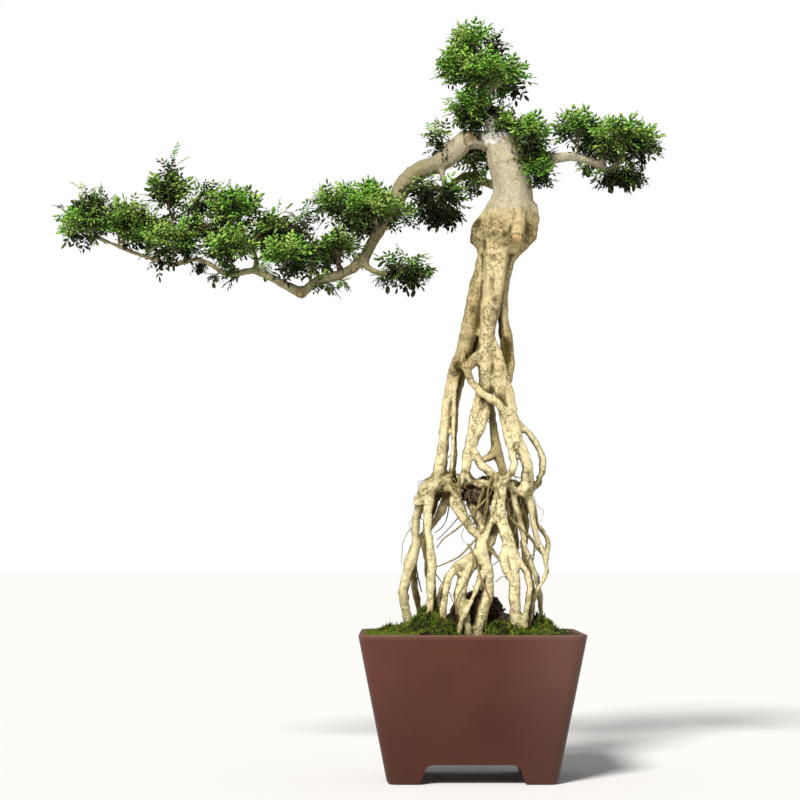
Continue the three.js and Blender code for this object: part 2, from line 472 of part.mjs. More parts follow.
// Foliage: each spray is a twig from the wood to a small twiggy heart, with ash leaves standing out of it
// foot is the point in the wood that the twig leaves; half is the reach of the spray's leaf tips each way
const SPRAYS = [
  { name: 'crown_top', foot: [13, 0, 1176], centre: [-6, 0, 1194], half: [38, 44, 42], leaves: 5 },
  { name: 'crown_left', foot: [14, 0, 1126], centre: [-27, -10, 1146], half: [38, 42, 34], leaves: 4 },
  { name: 'crown_right', foot: [62, 6, 1141], centre: [60, 10, 1136], half: [38, 44, 46], leaves: 4 },
  { name: 'crown_front', foot: [14, 0, 1120], centre: [14, -40, 1128], half: [40, 34, 34], leaves: 4 },
  { name: 'crown_back', foot: [14, 0, 1136], centre: [24, 46, 1146], half: [40, 36, 34], leaves: 3 },
  { name: 'crown_low', foot: [22, 0, 1090], centre: [-12, -18, 1082], half: [38, 40, 38], leaves: 4 },
  { name: 'shoulder', foot: [92, -6, 1012], centre: [90, -28, 1030], half: [36, 40, 42], leaves: 4 },
  { name: 'stem_right', foot: [92, -3, 955], centre: [106, -18, 962], half: [26, 26, 28], leaves: 3 },
  { name: 'right_inner', foot: [167, -8, 1004], centre: [174, -8, 1042], half: [42, 46, 40], leaves: 4 },
  { name: 'right_outer', foot: [247, -14, 1018], centre: [262, -10, 1022], half: [48, 44, 38], leaves: 4 },
  { name: 'right_back', foot: [188, -10, 999], centre: [214, 40, 1022], half: [44, 38, 34], leaves: 3 },
  { name: 'right_front', foot: [225, -33, 1016], centre: [226, -58, 1018], half: [40, 34, 34], leaves: 3 },
  { name: 'right_hanging', foot: [218, -13, 982], centre: [232, -20, 966],
    half: [58, 36, 30], leaves: 4, hang: true },
  { name: 'behind_trunk', foot: [4, 38, 984], centre: [0, 46, 1010], half: [36, 34, 30], leaves: 3 },
  { name: 'under_arm', foot: [-49, -39, 944], centre: [-66, -44, 940],
    half: [56, 42, 34], leaves: 5, hang: true },
  { name: 'under_arm_back', foot: [-38, 38, 964], centre: [-52, 46, 940],
    half: [42, 36, 32], leaves: 3, hang: true },
  { name: 'fall_high', foot: [-131, -25, 918], centre: [-156, -30, 928], half: [48, 46, 38], leaves: 5 },
  { name: 'fall_high_left', foot: [-160, -32, 868], centre: [-230, -24, 912], half: [44, 46, 40], leaves: 4 },
  { name: 'fall_front', foot: [-148, -30, 888], centre: [-166, -66, 892], half: [44, 34, 36], leaves: 3 },
  { name: 'fall_back', foot: [-150, -30, 884], centre: [-184, 32, 898], half: [48, 42, 40], leaves: 3 },
  { name: 'fall_low', foot: [-131, -46, 801], centre: [-118, -46, 812],
    half: [46, 44, 42], leaves: 5, hang: true },
  { name: 'reach_inner', foot: [-214, -38, 807], centre: [-218, -44, 838], half: [48, 44, 40], leaves: 4 },
  { name: 'reach_back', foot: [-262, -38, 788], centre: [-258, 18, 840], half: [46, 40, 36], leaves: 3 },
  { name: 'reach_middle', foot: [-307, -37, 788], centre: [-298, -58, 826], half: [44, 40, 38], leaves: 4 },
  { name: 'reach_high', foot: [-353, -25, 832], centre: [-328, -8, 870], half: [44, 44, 34], leaves: 4 },
  { name: 'rise_high', foot: [-376, -12, 876], centre: [-386, -16, 910], half: [50, 48, 44], leaves: 4 },
  { name: 'rise_back', foot: [-366, -18, 862], centre: [-402, 36, 870], half: [44, 38, 36], leaves: 3 },
  { name: 'rise_low', foot: [-396, -30, 806], centre: [-392, -56, 842], half: [46, 40, 36], leaves: 4 },
  { name: 'tall_shoot', foot: [-492, -4, 898], centre: [-496, -6, 934], half: [38, 40, 44], leaves: 4 },
  { name: 'outer_middle', foot: [-494, -22, 825], centre: [-482, -46, 852], half: [50, 42, 36], leaves: 4 },
  { name: 'outer_back', foot: [-532, -18, 838], centre: [-530, 28, 876], half: [46, 38, 36], leaves: 3 },
  { name: 'end_inner', foot: [-566, -16, 851], centre: [-568, -24, 888], half: [46, 44, 36], leaves: 4 },
  { name: 'end_tip', foot: [-620, -12, 871], centre: [-630, -12, 876], half: [42, 44, 36], leaves: 5 },
];
const HEART_SHARE = 0.38; // a spray's twiggy heart as a share of its reach

// One ash leaf: pairs of leaflets cut to the rib and one at the end, in a single thin outline, arched down.
function leafGeometry(length, arch) {
  const rib = 0.9;
  const span = length * 0.34;
  const side = [[0.12, rib], [0.3, span], [0.4, rib], [0.6, span * 0.92], [0.7, 2.4 * rib]];
  const outline = new THREE.Shape();
  outline.moveTo(-5, 0);
  for (const [along, out] of side) outline.lineTo(along * length, -out);
  outline.lineTo(length, 0);
  for (const [along, out] of side.reverse()) outline.lineTo(along * length, out);
  const blade = new THREE.ExtrudeGeometry(outline, { depth: LEAF_THICK, bevelEnabled: false });
  blade.translate(0, 0, -LEAF_THICK / 2);
  const place = blade.getAttribute('position');
  for (let i = 0; i < place.count; i++) {
    const x = place.getX(i);
    const y = place.getY(i);
    place.setZ(i, place.getZ(i) - arch * (x / length) ** 2 * length * 0.3 - (y * y) / (length * 0.9));
  }
  return blade;
}

// The leaf turned so that its rib runs along a direction and its face looks up, with a roll.
function placedLeaf(root, direction, roll, length, arch) {
  const along = direction.clone().normalize();
  const sky = Math.abs(along.z) > 0.92 ? new THREE.Vector3(0, -1, 0.2) : new THREE.Vector3(0, 0, 1);
  const face = sky.addScaledVector(along, -sky.dot(along)).normalize().applyAxisAngle(along, roll);
  const across = new THREE.Vector3().crossVectors(face, along);
  const turn = new THREE.Matrix4().makeBasis(along, across, face).setPosition(root);
  return solidOf(leafGeometry(length, arch).applyMatrix4(turn));
}

// A spray's twig and the small twiggy heart at its end.
function makeHeart(spray) {
  const foot = new THREE.Vector3(...spray.foot);
  const centre = new THREE.Vector3(...spray.centre);
  const bend = foot.clone().lerp(centre, 0.5).add(new THREE.Vector3(0, 0, spray.hang ? 3 : -4));
  const twig = limb([[...foot, 3], [...bend, 2.4], [...centre, 1.8]], 0, 0);
  const half = spray.half.map((reach) => reach * HEART_SHARE);
  return twig.add(lumpOf({ centre: spray.centre, half, detail: 0, roughness: 0.1 }));
}

// The heart with its leaves. Each is tried at places round the heart until it is clear of all that is there.
function makeSpray(spray, heart, wood, others) {
  const centre = new THREE.Vector3(...spray.centre);
  const random = randomFrom(SEED + Math.round(Math.abs(centre.x) * 7 + centre.y + centre.z));
  const half = new THREE.Vector3(...spray.half);
  const [low, high] = spray.hang ? [-0.95, 0.5] : [-0.4, 0.95];
  const leaves = [];
  const tries = 80;
  let turn = random() * 2 * Math.PI;
  for (let i = 0; i < spray.leaves; i++) {
    for (let attempt = 0; attempt < tries; attempt++) {
      turn += 2.4 + 0.5 * random();
      const rise = low + (high - low) * ((i + random()) / spray.leaves);
      const flat = Math.sqrt(1 - rise * rise);
      const way = new THREE.Vector3(flat * Math.cos(turn), flat * Math.sin(turn), rise).multiply(half);
      const root = centre.clone().addScaledVector(way, HEART_SHARE * 0.8);
      const tip = centre.clone().add(way);
      const length = Math.min(tip.distanceTo(root), LEAF_LENGTH);
      const leaf = placedLeaf(root, way, (random() - 0.5) * 1.3, length, 0.6 * random());
      const inTheWay = [wood, ...others, ...leaves].some((other) => leaf.intersect(other).volume() > 0);
      if (inTheWay) continue;
      leaves.push(leaf);
      break;
    }
  }
  return mainBody(Manifold.union([heart, ...leaves]).subtract(wood));
}

// The assembly
const colours = {
  pot: { color: 0x6b4238, roughness: 0.42 },
  screen: { color: 0x1f2022, roughness: 0.6 },
  grit: { color: 0x8d8272, roughness: 0.95 },
  soil: { color: 0x3b2e24, roughness: 0.98 },
  peat: { color: 0x33261f, roughness: 1 },
  moss: { color: 0x4f6a22, roughness: 1 },
  wood: { color: 0xcdbd92, roughness: 0.85 },
  leaf: { color: 0x4b7a2a, roughness: 0.6 },
};
const materials = Object.fromEntries(
  Object.entries(colours).map(([name, look]) => [
    name,
    new THREE.MeshStandardMaterial({ ...look, metalness: 0 }),
  ]),
);

const bonsai = new THREE.Group();
bonsai.position.x = TREE_X;
function add(name, shape, material) {
  const mesh = new THREE.Mesh(shape.isBufferGeometry ? shape : geometryOf(shape), materials[material]);
  mesh.name = name;
  bonsai.add(mesh);
}

const wood = makeWood(0);
const keepOut = makeWood(GAP);
const screenRoom = [-1, 1].map((side) =>
  block(
    [SCREEN.side + 2 * GAP, SCREEN.side + 2 * GAP, 2 * (SCREEN.thick + GAP)],
    [POT_X + side * DRAIN.x, 0, GRIT_LOW],
  ),
);
const soilLow = GRIT_LOW + GRIT_DEPTH + GAP;
const peatMound = makePeat(PEAT_MOUND, keepOut);
const widerMound = { ...PEAT_MOUND, half: PEAT_MOUND.half.map((reach) => reach + 1) };
const mossKeepOut = keepOut.add(lumpOf(widerMound));

add('pot', makePot(), 'pot');
add('drain_screen_left', makeScreen(-1), 'screen');
add('drain_screen_right', makeScreen(1), 'screen');
const grit = potSpace(GRIT_LOW, GRIT_LOW + GRIT_DEPTH, WALL + GAP).subtract(Manifold.union(screenRoom));
add('drainage_grit', grit, 'grit');
add('soil', potSpace(soilLow, SOIL_TOP, WALL + GAP).subtract(keepOut), 'soil');
add('peat_mound', peatMound, 'peat');
add('peat_clod', makePeat(PEAT_CLOD, keepOut), 'peat');
for (const [name, moss] of Object.entries(MOSS)) add(name, makeMoss(moss, mossKeepOut), 'moss');
add('trunk_and_roots', wood, 'wood');

const hearts = SPRAYS.map(makeHeart);
const grown = [];
SPRAYS.forEach((spray, i) => {
  const others = [...hearts.filter((_, j) => j !== i), ...grown];
  const made = makeSpray(spray, hearts[i], keepOut, others);
  grown.push(made);
  add('spray_' + spray.name, made, 'leaf');
});

export default bonsai;
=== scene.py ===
"""Looks of a raised-root ash bonsai in a deep clay pot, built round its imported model.

Lengths are in metres, +Z is up and the front of the pot faces -Y.
"""

import math

import bpy
import numpy as np
from bpy.props import FloatProperty, FloatVectorProperty, IntProperty, PointerProperty
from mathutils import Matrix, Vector


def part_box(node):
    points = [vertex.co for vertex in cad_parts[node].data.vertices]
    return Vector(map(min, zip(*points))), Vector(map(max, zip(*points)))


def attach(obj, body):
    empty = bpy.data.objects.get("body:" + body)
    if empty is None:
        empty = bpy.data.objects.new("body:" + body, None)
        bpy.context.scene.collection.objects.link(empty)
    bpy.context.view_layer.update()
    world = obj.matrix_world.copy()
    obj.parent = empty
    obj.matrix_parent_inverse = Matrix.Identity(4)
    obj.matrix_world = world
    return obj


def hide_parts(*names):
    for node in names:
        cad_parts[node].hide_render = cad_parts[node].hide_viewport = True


bl_info = {
    "name": "Raised-root Ash Bonsai",
    "version": (1, 0, 0),
    "blender": (4, 5, 0),
    "location": "View3D > Sidebar > Bonsai",
    "description": "Bark, leaves, moss, soil and clay for a bonsai tree in its pot",
    "category": "Add Mesh",
}

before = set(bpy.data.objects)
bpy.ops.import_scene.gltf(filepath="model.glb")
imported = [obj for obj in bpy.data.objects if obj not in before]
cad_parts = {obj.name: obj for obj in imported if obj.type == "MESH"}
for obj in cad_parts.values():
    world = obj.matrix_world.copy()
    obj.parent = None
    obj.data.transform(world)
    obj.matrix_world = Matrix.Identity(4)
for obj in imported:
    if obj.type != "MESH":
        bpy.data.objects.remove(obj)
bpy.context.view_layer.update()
MM = 0.001
TREE = "trunk_and_roots"
SPRAYS = sorted(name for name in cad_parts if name.startswith("spray_"))
RIM_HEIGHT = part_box("pot")[1].z
SOIL_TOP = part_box("soil")[1].z
TREE_FOOT = np.array([0.182, 0.0, 0.0])  # the floor under the foot of the trunk
POT_CREASE = math.radians(32)  # the pot's edges are sharp and worn beyond this angle
PAINTED_SHEEN = (1.75, 2.9, 4.2)  # how much paler and bluer the clay is in its painted sheen
GOLDEN_ANGLE = 2.39996  # from each shoot to the next, in radians
SHELTER_REACHES = (38, 30, 23, 17, 12, 8)  # where a ray looks for other wood, in millimetres
LEAST_REACH = 34 * MM  # of a spray's leaves from its heart
BODY_LIMIT = 1.04  # where the leaves of most shoots end, in reaches from the heart
CLEAR_LIMIT = 1.24  # the same for the shoots that stand clear
BROAD = 1.45  # how much broader the hanging leaves are than the leaflets
HAIR_ROOT_BAND = (385, 492)  # the heights between which the hair roots run, in millimetres
LOWEST_BRANCH = 740  # the height above which loose shoots grow, in millimetres
FLOOR_REACH = 30.0  # from the middle of the plain floor to its sides


# Meshes as arrays


def rows(items, name, width=3, kind=np.float32):
    """One property of many elements of a mesh, as rows of numbers."""
    values = np.empty(len(items) * width, kind)
    items.foreach_get(name, values)
    return values.reshape(-1, width)


def node_points(name):
    """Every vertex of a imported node, as rows of x, y and z."""
    return rows(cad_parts[name].data.vertices, "co").astype(float)


def triangles(mesh):
    """The corners of a mesh's triangles."""
    mesh.calc_loop_triangles()
    return rows(mesh.loop_triangles, "vertices", kind=np.int32)


def merged_node(name):
    """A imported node's points and triangles, with the points that coincide merged into one."""
    points = node_points(name)
    keys = np.round(points / (0.002 * MM)).astype(np.int64)
    first, same = np.unique(keys, axis=0, return_index=True, return_inverse=True)[1:]
    faces = same.reshape(-1)[triangles(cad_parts[name].data)]
    whole = np.all(faces != np.roll(faces, 1, axis=1), axis=1)
    return points[first], faces[whole]


def make_mesh(name, points, faces, smooth=True):
    """A mesh of points and of faces that all have the same number of corners."""
    mesh = bpy.data.meshes.new(name)
    count, sides = faces.shape
    mesh.vertices.add(len(points))
    mesh.vertices.foreach_set("co", np.ascontiguousarray(points, np.float32).ravel())
    mesh.loops.add(count * sides)
    mesh.loops.foreach_set("vertex_index", np.ascontiguousarray(faces, np.int32).ravel())
    mesh.polygons.add(count)
    mesh.polygons.foreach_set("loop_start", np.arange(0, count * sides, sides, dtype=np.int32))
    mesh.polygons.foreach_set("use_smooth", np.full(count, smooth))
    mesh.update(calc_edges=True)
    return mesh


def move_points(mesh, points):
    """Puts a mesh's points in new places."""
    mesh.vertices.foreach_set("co", points.astype(np.float32).ravel())
    mesh.update()


def cover(mesh, material):
    """Gives a mesh one material in the place of those that it has."""
    mesh.materials.clear()
    mesh.materials.append(material)


def add_piece(name, mesh, material, replaced=()):
    """Puts a mesh in the scene as a piece of the tree that rides on the model's one body."""
    piece = bpy.data.objects.new(name, mesh)
    bpy.context.scene.collection.objects.link(piece)
    cover(mesh, material)
    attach(piece, "root")
    if replaced:
        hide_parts(*replaced)
    return piece


def set_values(mesh, **values):
    """Stores numbers on a mesh's points, each row under the name by which a material reads it."""
    for name, numbers in values.items():
        layer = mesh.attributes.new(name, "FLOAT", "POINT")
        layer.data.foreach_set("value", np.ascontiguousarray(numbers, np.float32))


def toned_mesh(name, points, faces, tone):
    """A mesh whose points carry a tone."""
    mesh = make_mesh(name, points, faces)
    set_values(mesh, tone=tone)
    return mesh


def joined(parts):
    """Joins (points, faces, values) parts whose faces have three corners into one set of arrays."""
    points, faces, values = zip(*parts)
    starts = np.cumsum([0] + [len(part) for part in points])
    moved = [part + start for part, start in zip(faces, starts)]
    return np.concatenate(points), np.concatenate(moved), np.concatenate(values)


def copies(points, pattern):
    """Plain rows of points and faces, from groups of points whose faces all follow one pattern."""
    faces = np.asarray(pattern) + np.arange(len(points))[:, None, None] * points.shape[1]
    return points.reshape(-1, 3), faces.reshape(-1, 3)


def unit(ways):
    """Rows scaled to length 1."""
    return ways / np.maximum(np.linalg.norm(ways, axis=-1, keepdims=True), 1e-12)


def blend(low, high, value):
    """0 below low, 1 above high, and 3t^2 - 2t^3 between them."""
    t = np.clip((value - low) / (high - low), 0.0, 1.0)
    return t * t * (3 - 2 * t)


def bell(value):
    """exp(-value^2), which is 1 at 0 and next to nothing beyond 2."""
    return np.exp(-(value**2))


def band(value, rise, fall):
    """0 to 1 over the first pair of values, and back to 0 over the second."""
    return blend(*rise, value) * (1 - blend(*fall, value))


def relief(points, size, seed):
    """Smooth random relief from -1 to 1.

    Each corner of a cubic lattice of that size has a random value, and a point blends the eight round it by
    3t^2 - 2t^3 along each axis.
    """
    place = points / size + 31.7 * seed
    cell = np.floor(place).astype(np.int64)
    part = place - cell
    part = part * part * (3 - 2 * part)
    total = np.zeros(len(points))
    for corner in np.ndindex(2, 2, 2):
        spot = (cell + corner) @ np.array([73856093, 19349663, 83492791])
        spot = ((spot ^ (spot >> 13)) * 1274126177) & 0xFFFFFFFF
        value = ((spot ^ (spot >> 16)) & 0xFFFF) / 32767.5 - 1
        total += value * np.prod(np.where(corner, part, 1 - part), axis=1)
    return total


def smooth_path(corners, stations):
    """A Catmull-Rom curve through the corners, at even steps of its parameter."""
    corners = np.asarray(corners, float)
    ends = np.concatenate([2 * corners[:1] - corners[1:2], corners, 2 * corners[-1:] - corners[-2:-1]])
    place = np.linspace(0, len(corners) - 1, stations)
    first = np.minimum(place.astype(int), len(corners) - 2)
    t = (place - first)[:, None]
    a, b, c, d = (ends[first + k] for k in range(4))
    return 0.5 * (2 * b + (c - a) * t + (2 * a - 5 * b + 4 * c - d) * t**2 + (3 * b - a - 3 * c + d) * t**3)


def lines_between(starts, ends, t):
    """A straight path from each start to its end, at the shares t of its length."""
    return starts[:, None] + (ends - starts)[:, None] * t[:, None]


def raised(points, lift):
    """Points moved up, each by its own lift in millimetres."""
    return points + np.array([0, 0, MM]) * lift[:, None]


def tubes(paths, radii, sides):
    """Tubes along many paths at once, closed to a point at both ends.

    paths has the shape (tubes, stations, 3) and radii (tubes, stations). Round each station is a ring
    p + r (cos a u + sin a v), where u and v are square to the path and u leans to a fixed direction.
    """
    count, stations = radii.shape
    along = unit(np.gradient(paths, axis=1))
    lean = np.where(np.abs(along[..., 2:3]) > 0.9, [1.0, 0.0, 0.0], [0.0, 0.0, 1.0])
    across = unit(np.cross(along, lean))
    up = np.cross(across, along)
    angle = (np.arange(sides) / sides * 2 * math.pi)[:, None]
    spokes = np.cos(angle) * across[:, :, None] + np.sin(angle) * up[:, :, None]
    ring = paths[:, :, None] + radii[:, :, None, None] * spokes
    first = paths[:, :1] - along[:, :1] * radii[:, :1, None]
    last = paths[:, -1:] + along[:, -1:] * radii[:, -1:, None]
    points = np.concatenate([ring.reshape(count, -1, 3), first, last], axis=1)
    near = np.arange(sides)
    beside = (near + 1) % sides
    row = np.arange(stations - 1)[:, None] * sides
    far, tip = row + near + sides, np.full(sides, stations * sides)
    top = (stations - 1) * sides
    walls = ((row + near, far, row + beside), (row + beside, far, row + beside + sides))
    ends = ((near, beside, tip), (top + beside, top + near, tip + 1))
    pattern = [np.stack(corners, -1).reshape(-1, 3) for corners in (*walls, *ends)]
    return copies(points, np.concatenate(pattern))


def scatter(points, faces, count, random):
    """Random places all over a triangle mesh, even by area, with the direction that the surface faces."""
    a, b, c = (points[faces[:, k]] for k in range(3))
    facing = np.cross(b - a, c - a)
    area = np.linalg.norm(facing, axis=1)
    chosen = random.choice(len(faces), count, p=area / area.sum())
    u, v = random.uniform(0, 1, (2, count, 1))
    over = u + v > 1
    u, v = np.where(over, 1 - u, u), np.where(over, 1 - v, v)
    places = a[chosen] + u * (b - a)[chosen] + v * (c - a)[chosen]
    return places, unit(facing[chosen])


def grains(places, sizes, random):
    """Rough grains: each is an octahedron with its corners pushed in or out and turned at random."""
    corners = np.array([[1, 0, 0], [0, 1, 0], [-1, 0, 0], [0, -1, 0], [0, 0, 1], [0, 0, -1]], float)
    upper = [[k, (k + 1) % 4, 4] for k in range(4)]
    lower = [[(k + 1) % 4, k, 5] for k in range(4)]
    count = len(places)
    turn = random.uniform(0, 2 * math.pi, (count, 1))
    tilt = random.uniform(-0.6, 0.6, (count, 1))
    shape = corners[None] * random.uniform(0.6, 1.2, (count, 6, 1))
    x = shape[..., 0] * np.cos(turn) - shape[..., 1] * np.sin(turn)
    y = shape[..., 0] * np.sin(turn) + shape[..., 1] * np.cos(turn)
    z = shape[..., 2] * np.cos(tilt) + x * np.sin(tilt)
    return copies(places[:, None] + sizes[:, None, None] * np.stack([x, y, z], -1), upper + lower)


# Shader nodes, and the groups that several materials share


class Signal:
    """A value or colour in a shader. Signals are added, subtracted, multiplied and divided by Math nodes."""

    def __init__(self, tree, socket):
        self.tree = tree
        self.socket = socket

    def __add__(self, other):
        return calculate("ADD", self, other)

    def __sub__(self, other):
        return calculate("SUBTRACT", self, other)

    def __mul__(self, other):
        return calculate("MULTIPLY", self, other)

    def __truediv__(self, other):
        return calculate("DIVIDE", self, other)

    def __rtruediv__(self, other):
        return calculate("DIVIDE", other, self)

    def ramp(self, low, high):
        """Brings the value from between low and high to between 0 and 1."""
        inputs = {"Value": self, "From Min": low, "From Max": high}
        return add_node(self.tree, "MapRange", "Result", inputs, interpolation_type="SMOOTHSTEP")


def feed(socket, value):
    """Gives a shader socket a signal, a colour or a number."""
    if isinstance(value, Signal):
        value.tree.links.new(value.socket, socket)
    elif socket.type == "RGBA":
        socket.default_value = (*value, 1.0)
    else:
        socket.default_value = value


def add_node(tree, kind, output, inputs, **settings):
    """A shader node's output as a signal. inputs has what feeds each socket, by its name or number."""
    node = tree.nodes.new("ShaderNode" + kind)
    for name, value in settings.items():
        setattr(node, name, value)
    for name, value in inputs.items():
        feed(node.inputs[name], value)
    return Signal(tree, node.outputs[output])


def calculate(operation, *values):
    """A Math node's output. Each value is a number or a signal, and one at least is a signal."""
    tree = next(value.tree for value in values if isinstance(value, Signal))
    return add_node(tree, "Math", 0, dict(enumerate(values)), operation=operation)


def coordinates(tree):
    """The Object coordinates."""
    return add_node(tree, "TexCoord", "Object", {})


def noise(tree, scale, **inputs):
    """Cloudy noise over the Object coordinates, round a middle value of 0.5."""
    inputs = {"Vector": coordinates(tree), "Scale": scale, **inputs}
    return add_node(tree, "TexNoise", "Fac", inputs)


def new_group(name, results, **inputs):
    """A shader node group, with its inputs as signals by name and its output sockets by name."""
    group = bpy.data.node_groups.new(name, "ShaderNodeTree")
    for label, default in inputs.items():
        socket = group.interface.new_socket(label, in_out="INPUT", socket_type="NodeSocketFloat")
        socket.default_value = default
    for label in results:
        group.interface.new_socket(label, in_out="OUTPUT", socket_type="NodeSocketFloat")
    given = group.nodes.new("NodeGroupInput").outputs
    signals = {label: Signal(group, given[label]) for label in inputs}
    return group, signals, group.nodes.new("NodeGroupOutput").inputs


def mottle_group():
    """Two sizes of cloudy noise: Tone varies colour over the surface, and Height is its fine relief."""
    group, given, result = new_group("Mottle", ("Tone", "Height"), Patch=0.03, Grain=0.002)
    feed(result["Tone"], noise(group, 1.0 / given["Patch"], Detail=3.0, Roughness=0.6))
    feed(result["Height"], noise(group, 1.0 / given["Grain"], Detail=4.0, Roughness=0.6))
    return group


def fleck_group():
    """Scattered flecks of one size, longer or shorter along Z. Mask is 1 in a fleck."""
    group, given, result = new_group("Flecks", ("Mask",), Size=0.004, Stretch=1.0, Amount=0.3)
    scale = 1.0 / given["Size"]
    squeeze = add_node(group, "CombineXYZ", 0, {"X": scale, "Y": scale, "Z": scale / given["Stretch"]})
    place = add_node(group, "VectorMath", 0, {0: coordinates(group), 1: squeeze}, operation="MULTIPLY")
    cells = add_node(group, "TexVoronoi", "Distance", {"Vector": place, "Scale": 1.0})
    feed(result["Mask"], (given["Amount"] - cells).ramp(-0.05, 0.08))
    return group


def scribble_group():
    """Thin closed lines, such as cracks and leaf scars: where a noise passes through its middle value."""
    group, given, result = new_group("Scribble", ("Mask",), Size=0.012, Width=0.01)
    lines = noise(group, 1.0 / given["Size"], Detail=2.0, Distortion=0.6)
    patches = noise(group, 0.32 / given["Size"], Detail=0.0, Distortion=0.6)
    line = (calculate("ABSOLUTE", lines - 0.5) / given["Width"]).ramp(1.6, 0.6)
    feed(result["Mask"], line * patches.ramp(0.5, 0.58))
    return group


def scar_group():
    """The thin ragged line round a scar, where the oval distance is 1. Mask falls off on both sides."""
    inputs = {"East": 0.0, "Height": 0.0, "Middle": 0.0, "Level": 0.0, "Width": 1.0, "Tall": 1.0}
    group, given, result = new_group("Scar line", ("Mask",), **inputs)
    across = (given["East"] - given["Middle"]) / given["Width"]
    up = (given["Height"] - given["Level"]) / given["Tall"]
    oval = calculate("SQRT", across * across + up * up) + noise(group, 190.0) * 1.5
    line = calculate("ABSOLUTE", oval - 1.6).ramp(0.2, 0.03)
    feed(result["Mask"], line * noise(group, 420.0).ramp(0.4, 0.56))
    return group


SHADER_GROUPS = {
    "Mottle": mottle_group,
    "Flecks": fleck_group,
    "Scribble": scribble_group,
    "Scar line": scar_group,
}


# Materials


class Finish:
    """A material under construction: one Principled shader and short calls that feed it."""

    def __init__(self, name):
        self.material = bpy.data.materials.new(name)
        self.material.use_nodes = True
        self.tree = self.material.node_tree
        self.inputs = self.tree.nodes["Principled BSDF"].inputs

    def use(self, name, output, **values):
        """An output of a shared group placed in this material. The group is made when it is first used."""
        group = bpy.data.node_groups.get(name) or SHADER_GROUPS[name]()
        return add_node(self.tree, "Group", output, values, node_tree=group)

    def mottle(self, patch, grain):
        """Cloudy noise of two sizes: the tone of its patches and the height of its grain."""
        tone = self.use("Mottle", "Tone", Patch=patch, Grain=grain)
        return tone, Signal(self.tree, tone.socket.node.outputs["Height"])

    def flecks(self, size, stretch, amount):
        """The mask of scattered flecks."""
        return self.use("Flecks", "Mask", Size=size, Stretch=stretch, Amount=amount)

    def attribute(self, name):
        """A value stored on the mesh's points."""
        return add_node(self.tree, "Attribute", "Fac", {}, attribute_name=name)

    def place(self, *axes):
        """Axes of the Object coordinates."""
        split = add_node(self.tree, "SeparateXYZ", 0, {0: coordinates(self.tree)}).socket.node
        return [Signal(self.tree, split.outputs[axis]) for axis in axes]

    def mix(self, mask, first, second):
        """A colour between two, each a colour of three numbers or a signal."""
        node = self.tree.nodes.new("ShaderNodeMix")
        node.data_type = "RGBA"
        colours = [socket for socket in (*node.inputs, *node.outputs) if socket.type == "RGBA"]
        for socket, value in zip((node.inputs["Factor"], *colours[:2]), (mask, first, second)):
            feed(socket, value)
        return Signal(self.tree, colours[2])

    def stained(self, colour, *stains):
        """A colour with stains laid over it in turn, each as its mask, its share and its colour."""
        for mask, share, stain in stains:
            colour = self.mix(mask * share, colour, stain)
        return colour

    def done(self, colour, roughness, relief, specular=0.5):
        """The material. The roughness is a value and its two ends, and the relief a height and its depth."""
        value, low, high = roughness
        height, depth = relief
        bump = {"Strength": 1.0, "Distance": depth, "Height": height}
        feed(self.inputs["Base Color"], colour)
        feed(self.inputs["Roughness"], value * (high - low) + low)
        feed(self.inputs["Normal"], add_node(self.tree, "Bump", "Normal", bump))
        feed(self.inputs["Specular IOR Level"], specular)
        return self.material


def clay_finish(colour):
    """Unglazed purple-brown clay: cloudy tone, fine grain, pale rim bands, a painted sheen and painted
    shade.
    """
    clay = Finish("Clay")
    tone, grain = clay.mottle(0.09, 0.0014)
    east, height = clay.place("X", "Z")
    body = clay.stained(
        clay.mix(tone.ramp(0.35, 0.68), 0.93 * colour, 1.1 * colour),
        (clay.flecks(0.007, 1.0, 0.1), 0.2, 0.5 * colour),
        # Painted sheen: the clay is paler and bluer towards both ends
        (calculate("MAXIMUM", east.ramp(0.2, 0.33), east.ramp(0.1, 0.02) * 0.3), 0.5, colour * PAINTED_SHEEN),
        (height.ramp(RIM_HEIGHT - 0.009, RIM_HEIGHT - 0.004), 0.24, (0.2, 0.1, 0.075)),
        (height.ramp(RIM_HEIGHT - 0.003, RIM_HEIGHT - 0.0006), 0.3, (0.24, 0.12, 0.085)),
        # Painted shade: the clay darkens towards the foot
        (height.ramp(0.2, 0.05), 0.5, 0.46 * colour),
    )
    return clay.done(body, (tone, 0.36, 0.52), (grain, 0.00022), 0.22)


def scars(bark, east, height):
    """The lines round all the scars, as one mask."""
    total = 0.0
    for x, y, z, half_width, half_height, sink in SCARS:
        oval = {"Middle": x * MM, "Level": z * MM, "Width": half_width * MM, "Tall": half_height * MM}
        total = calculate("MAXIMUM", total, bark.use("Scar line", "Mask", East=east, Height=height, **oval))
    return total


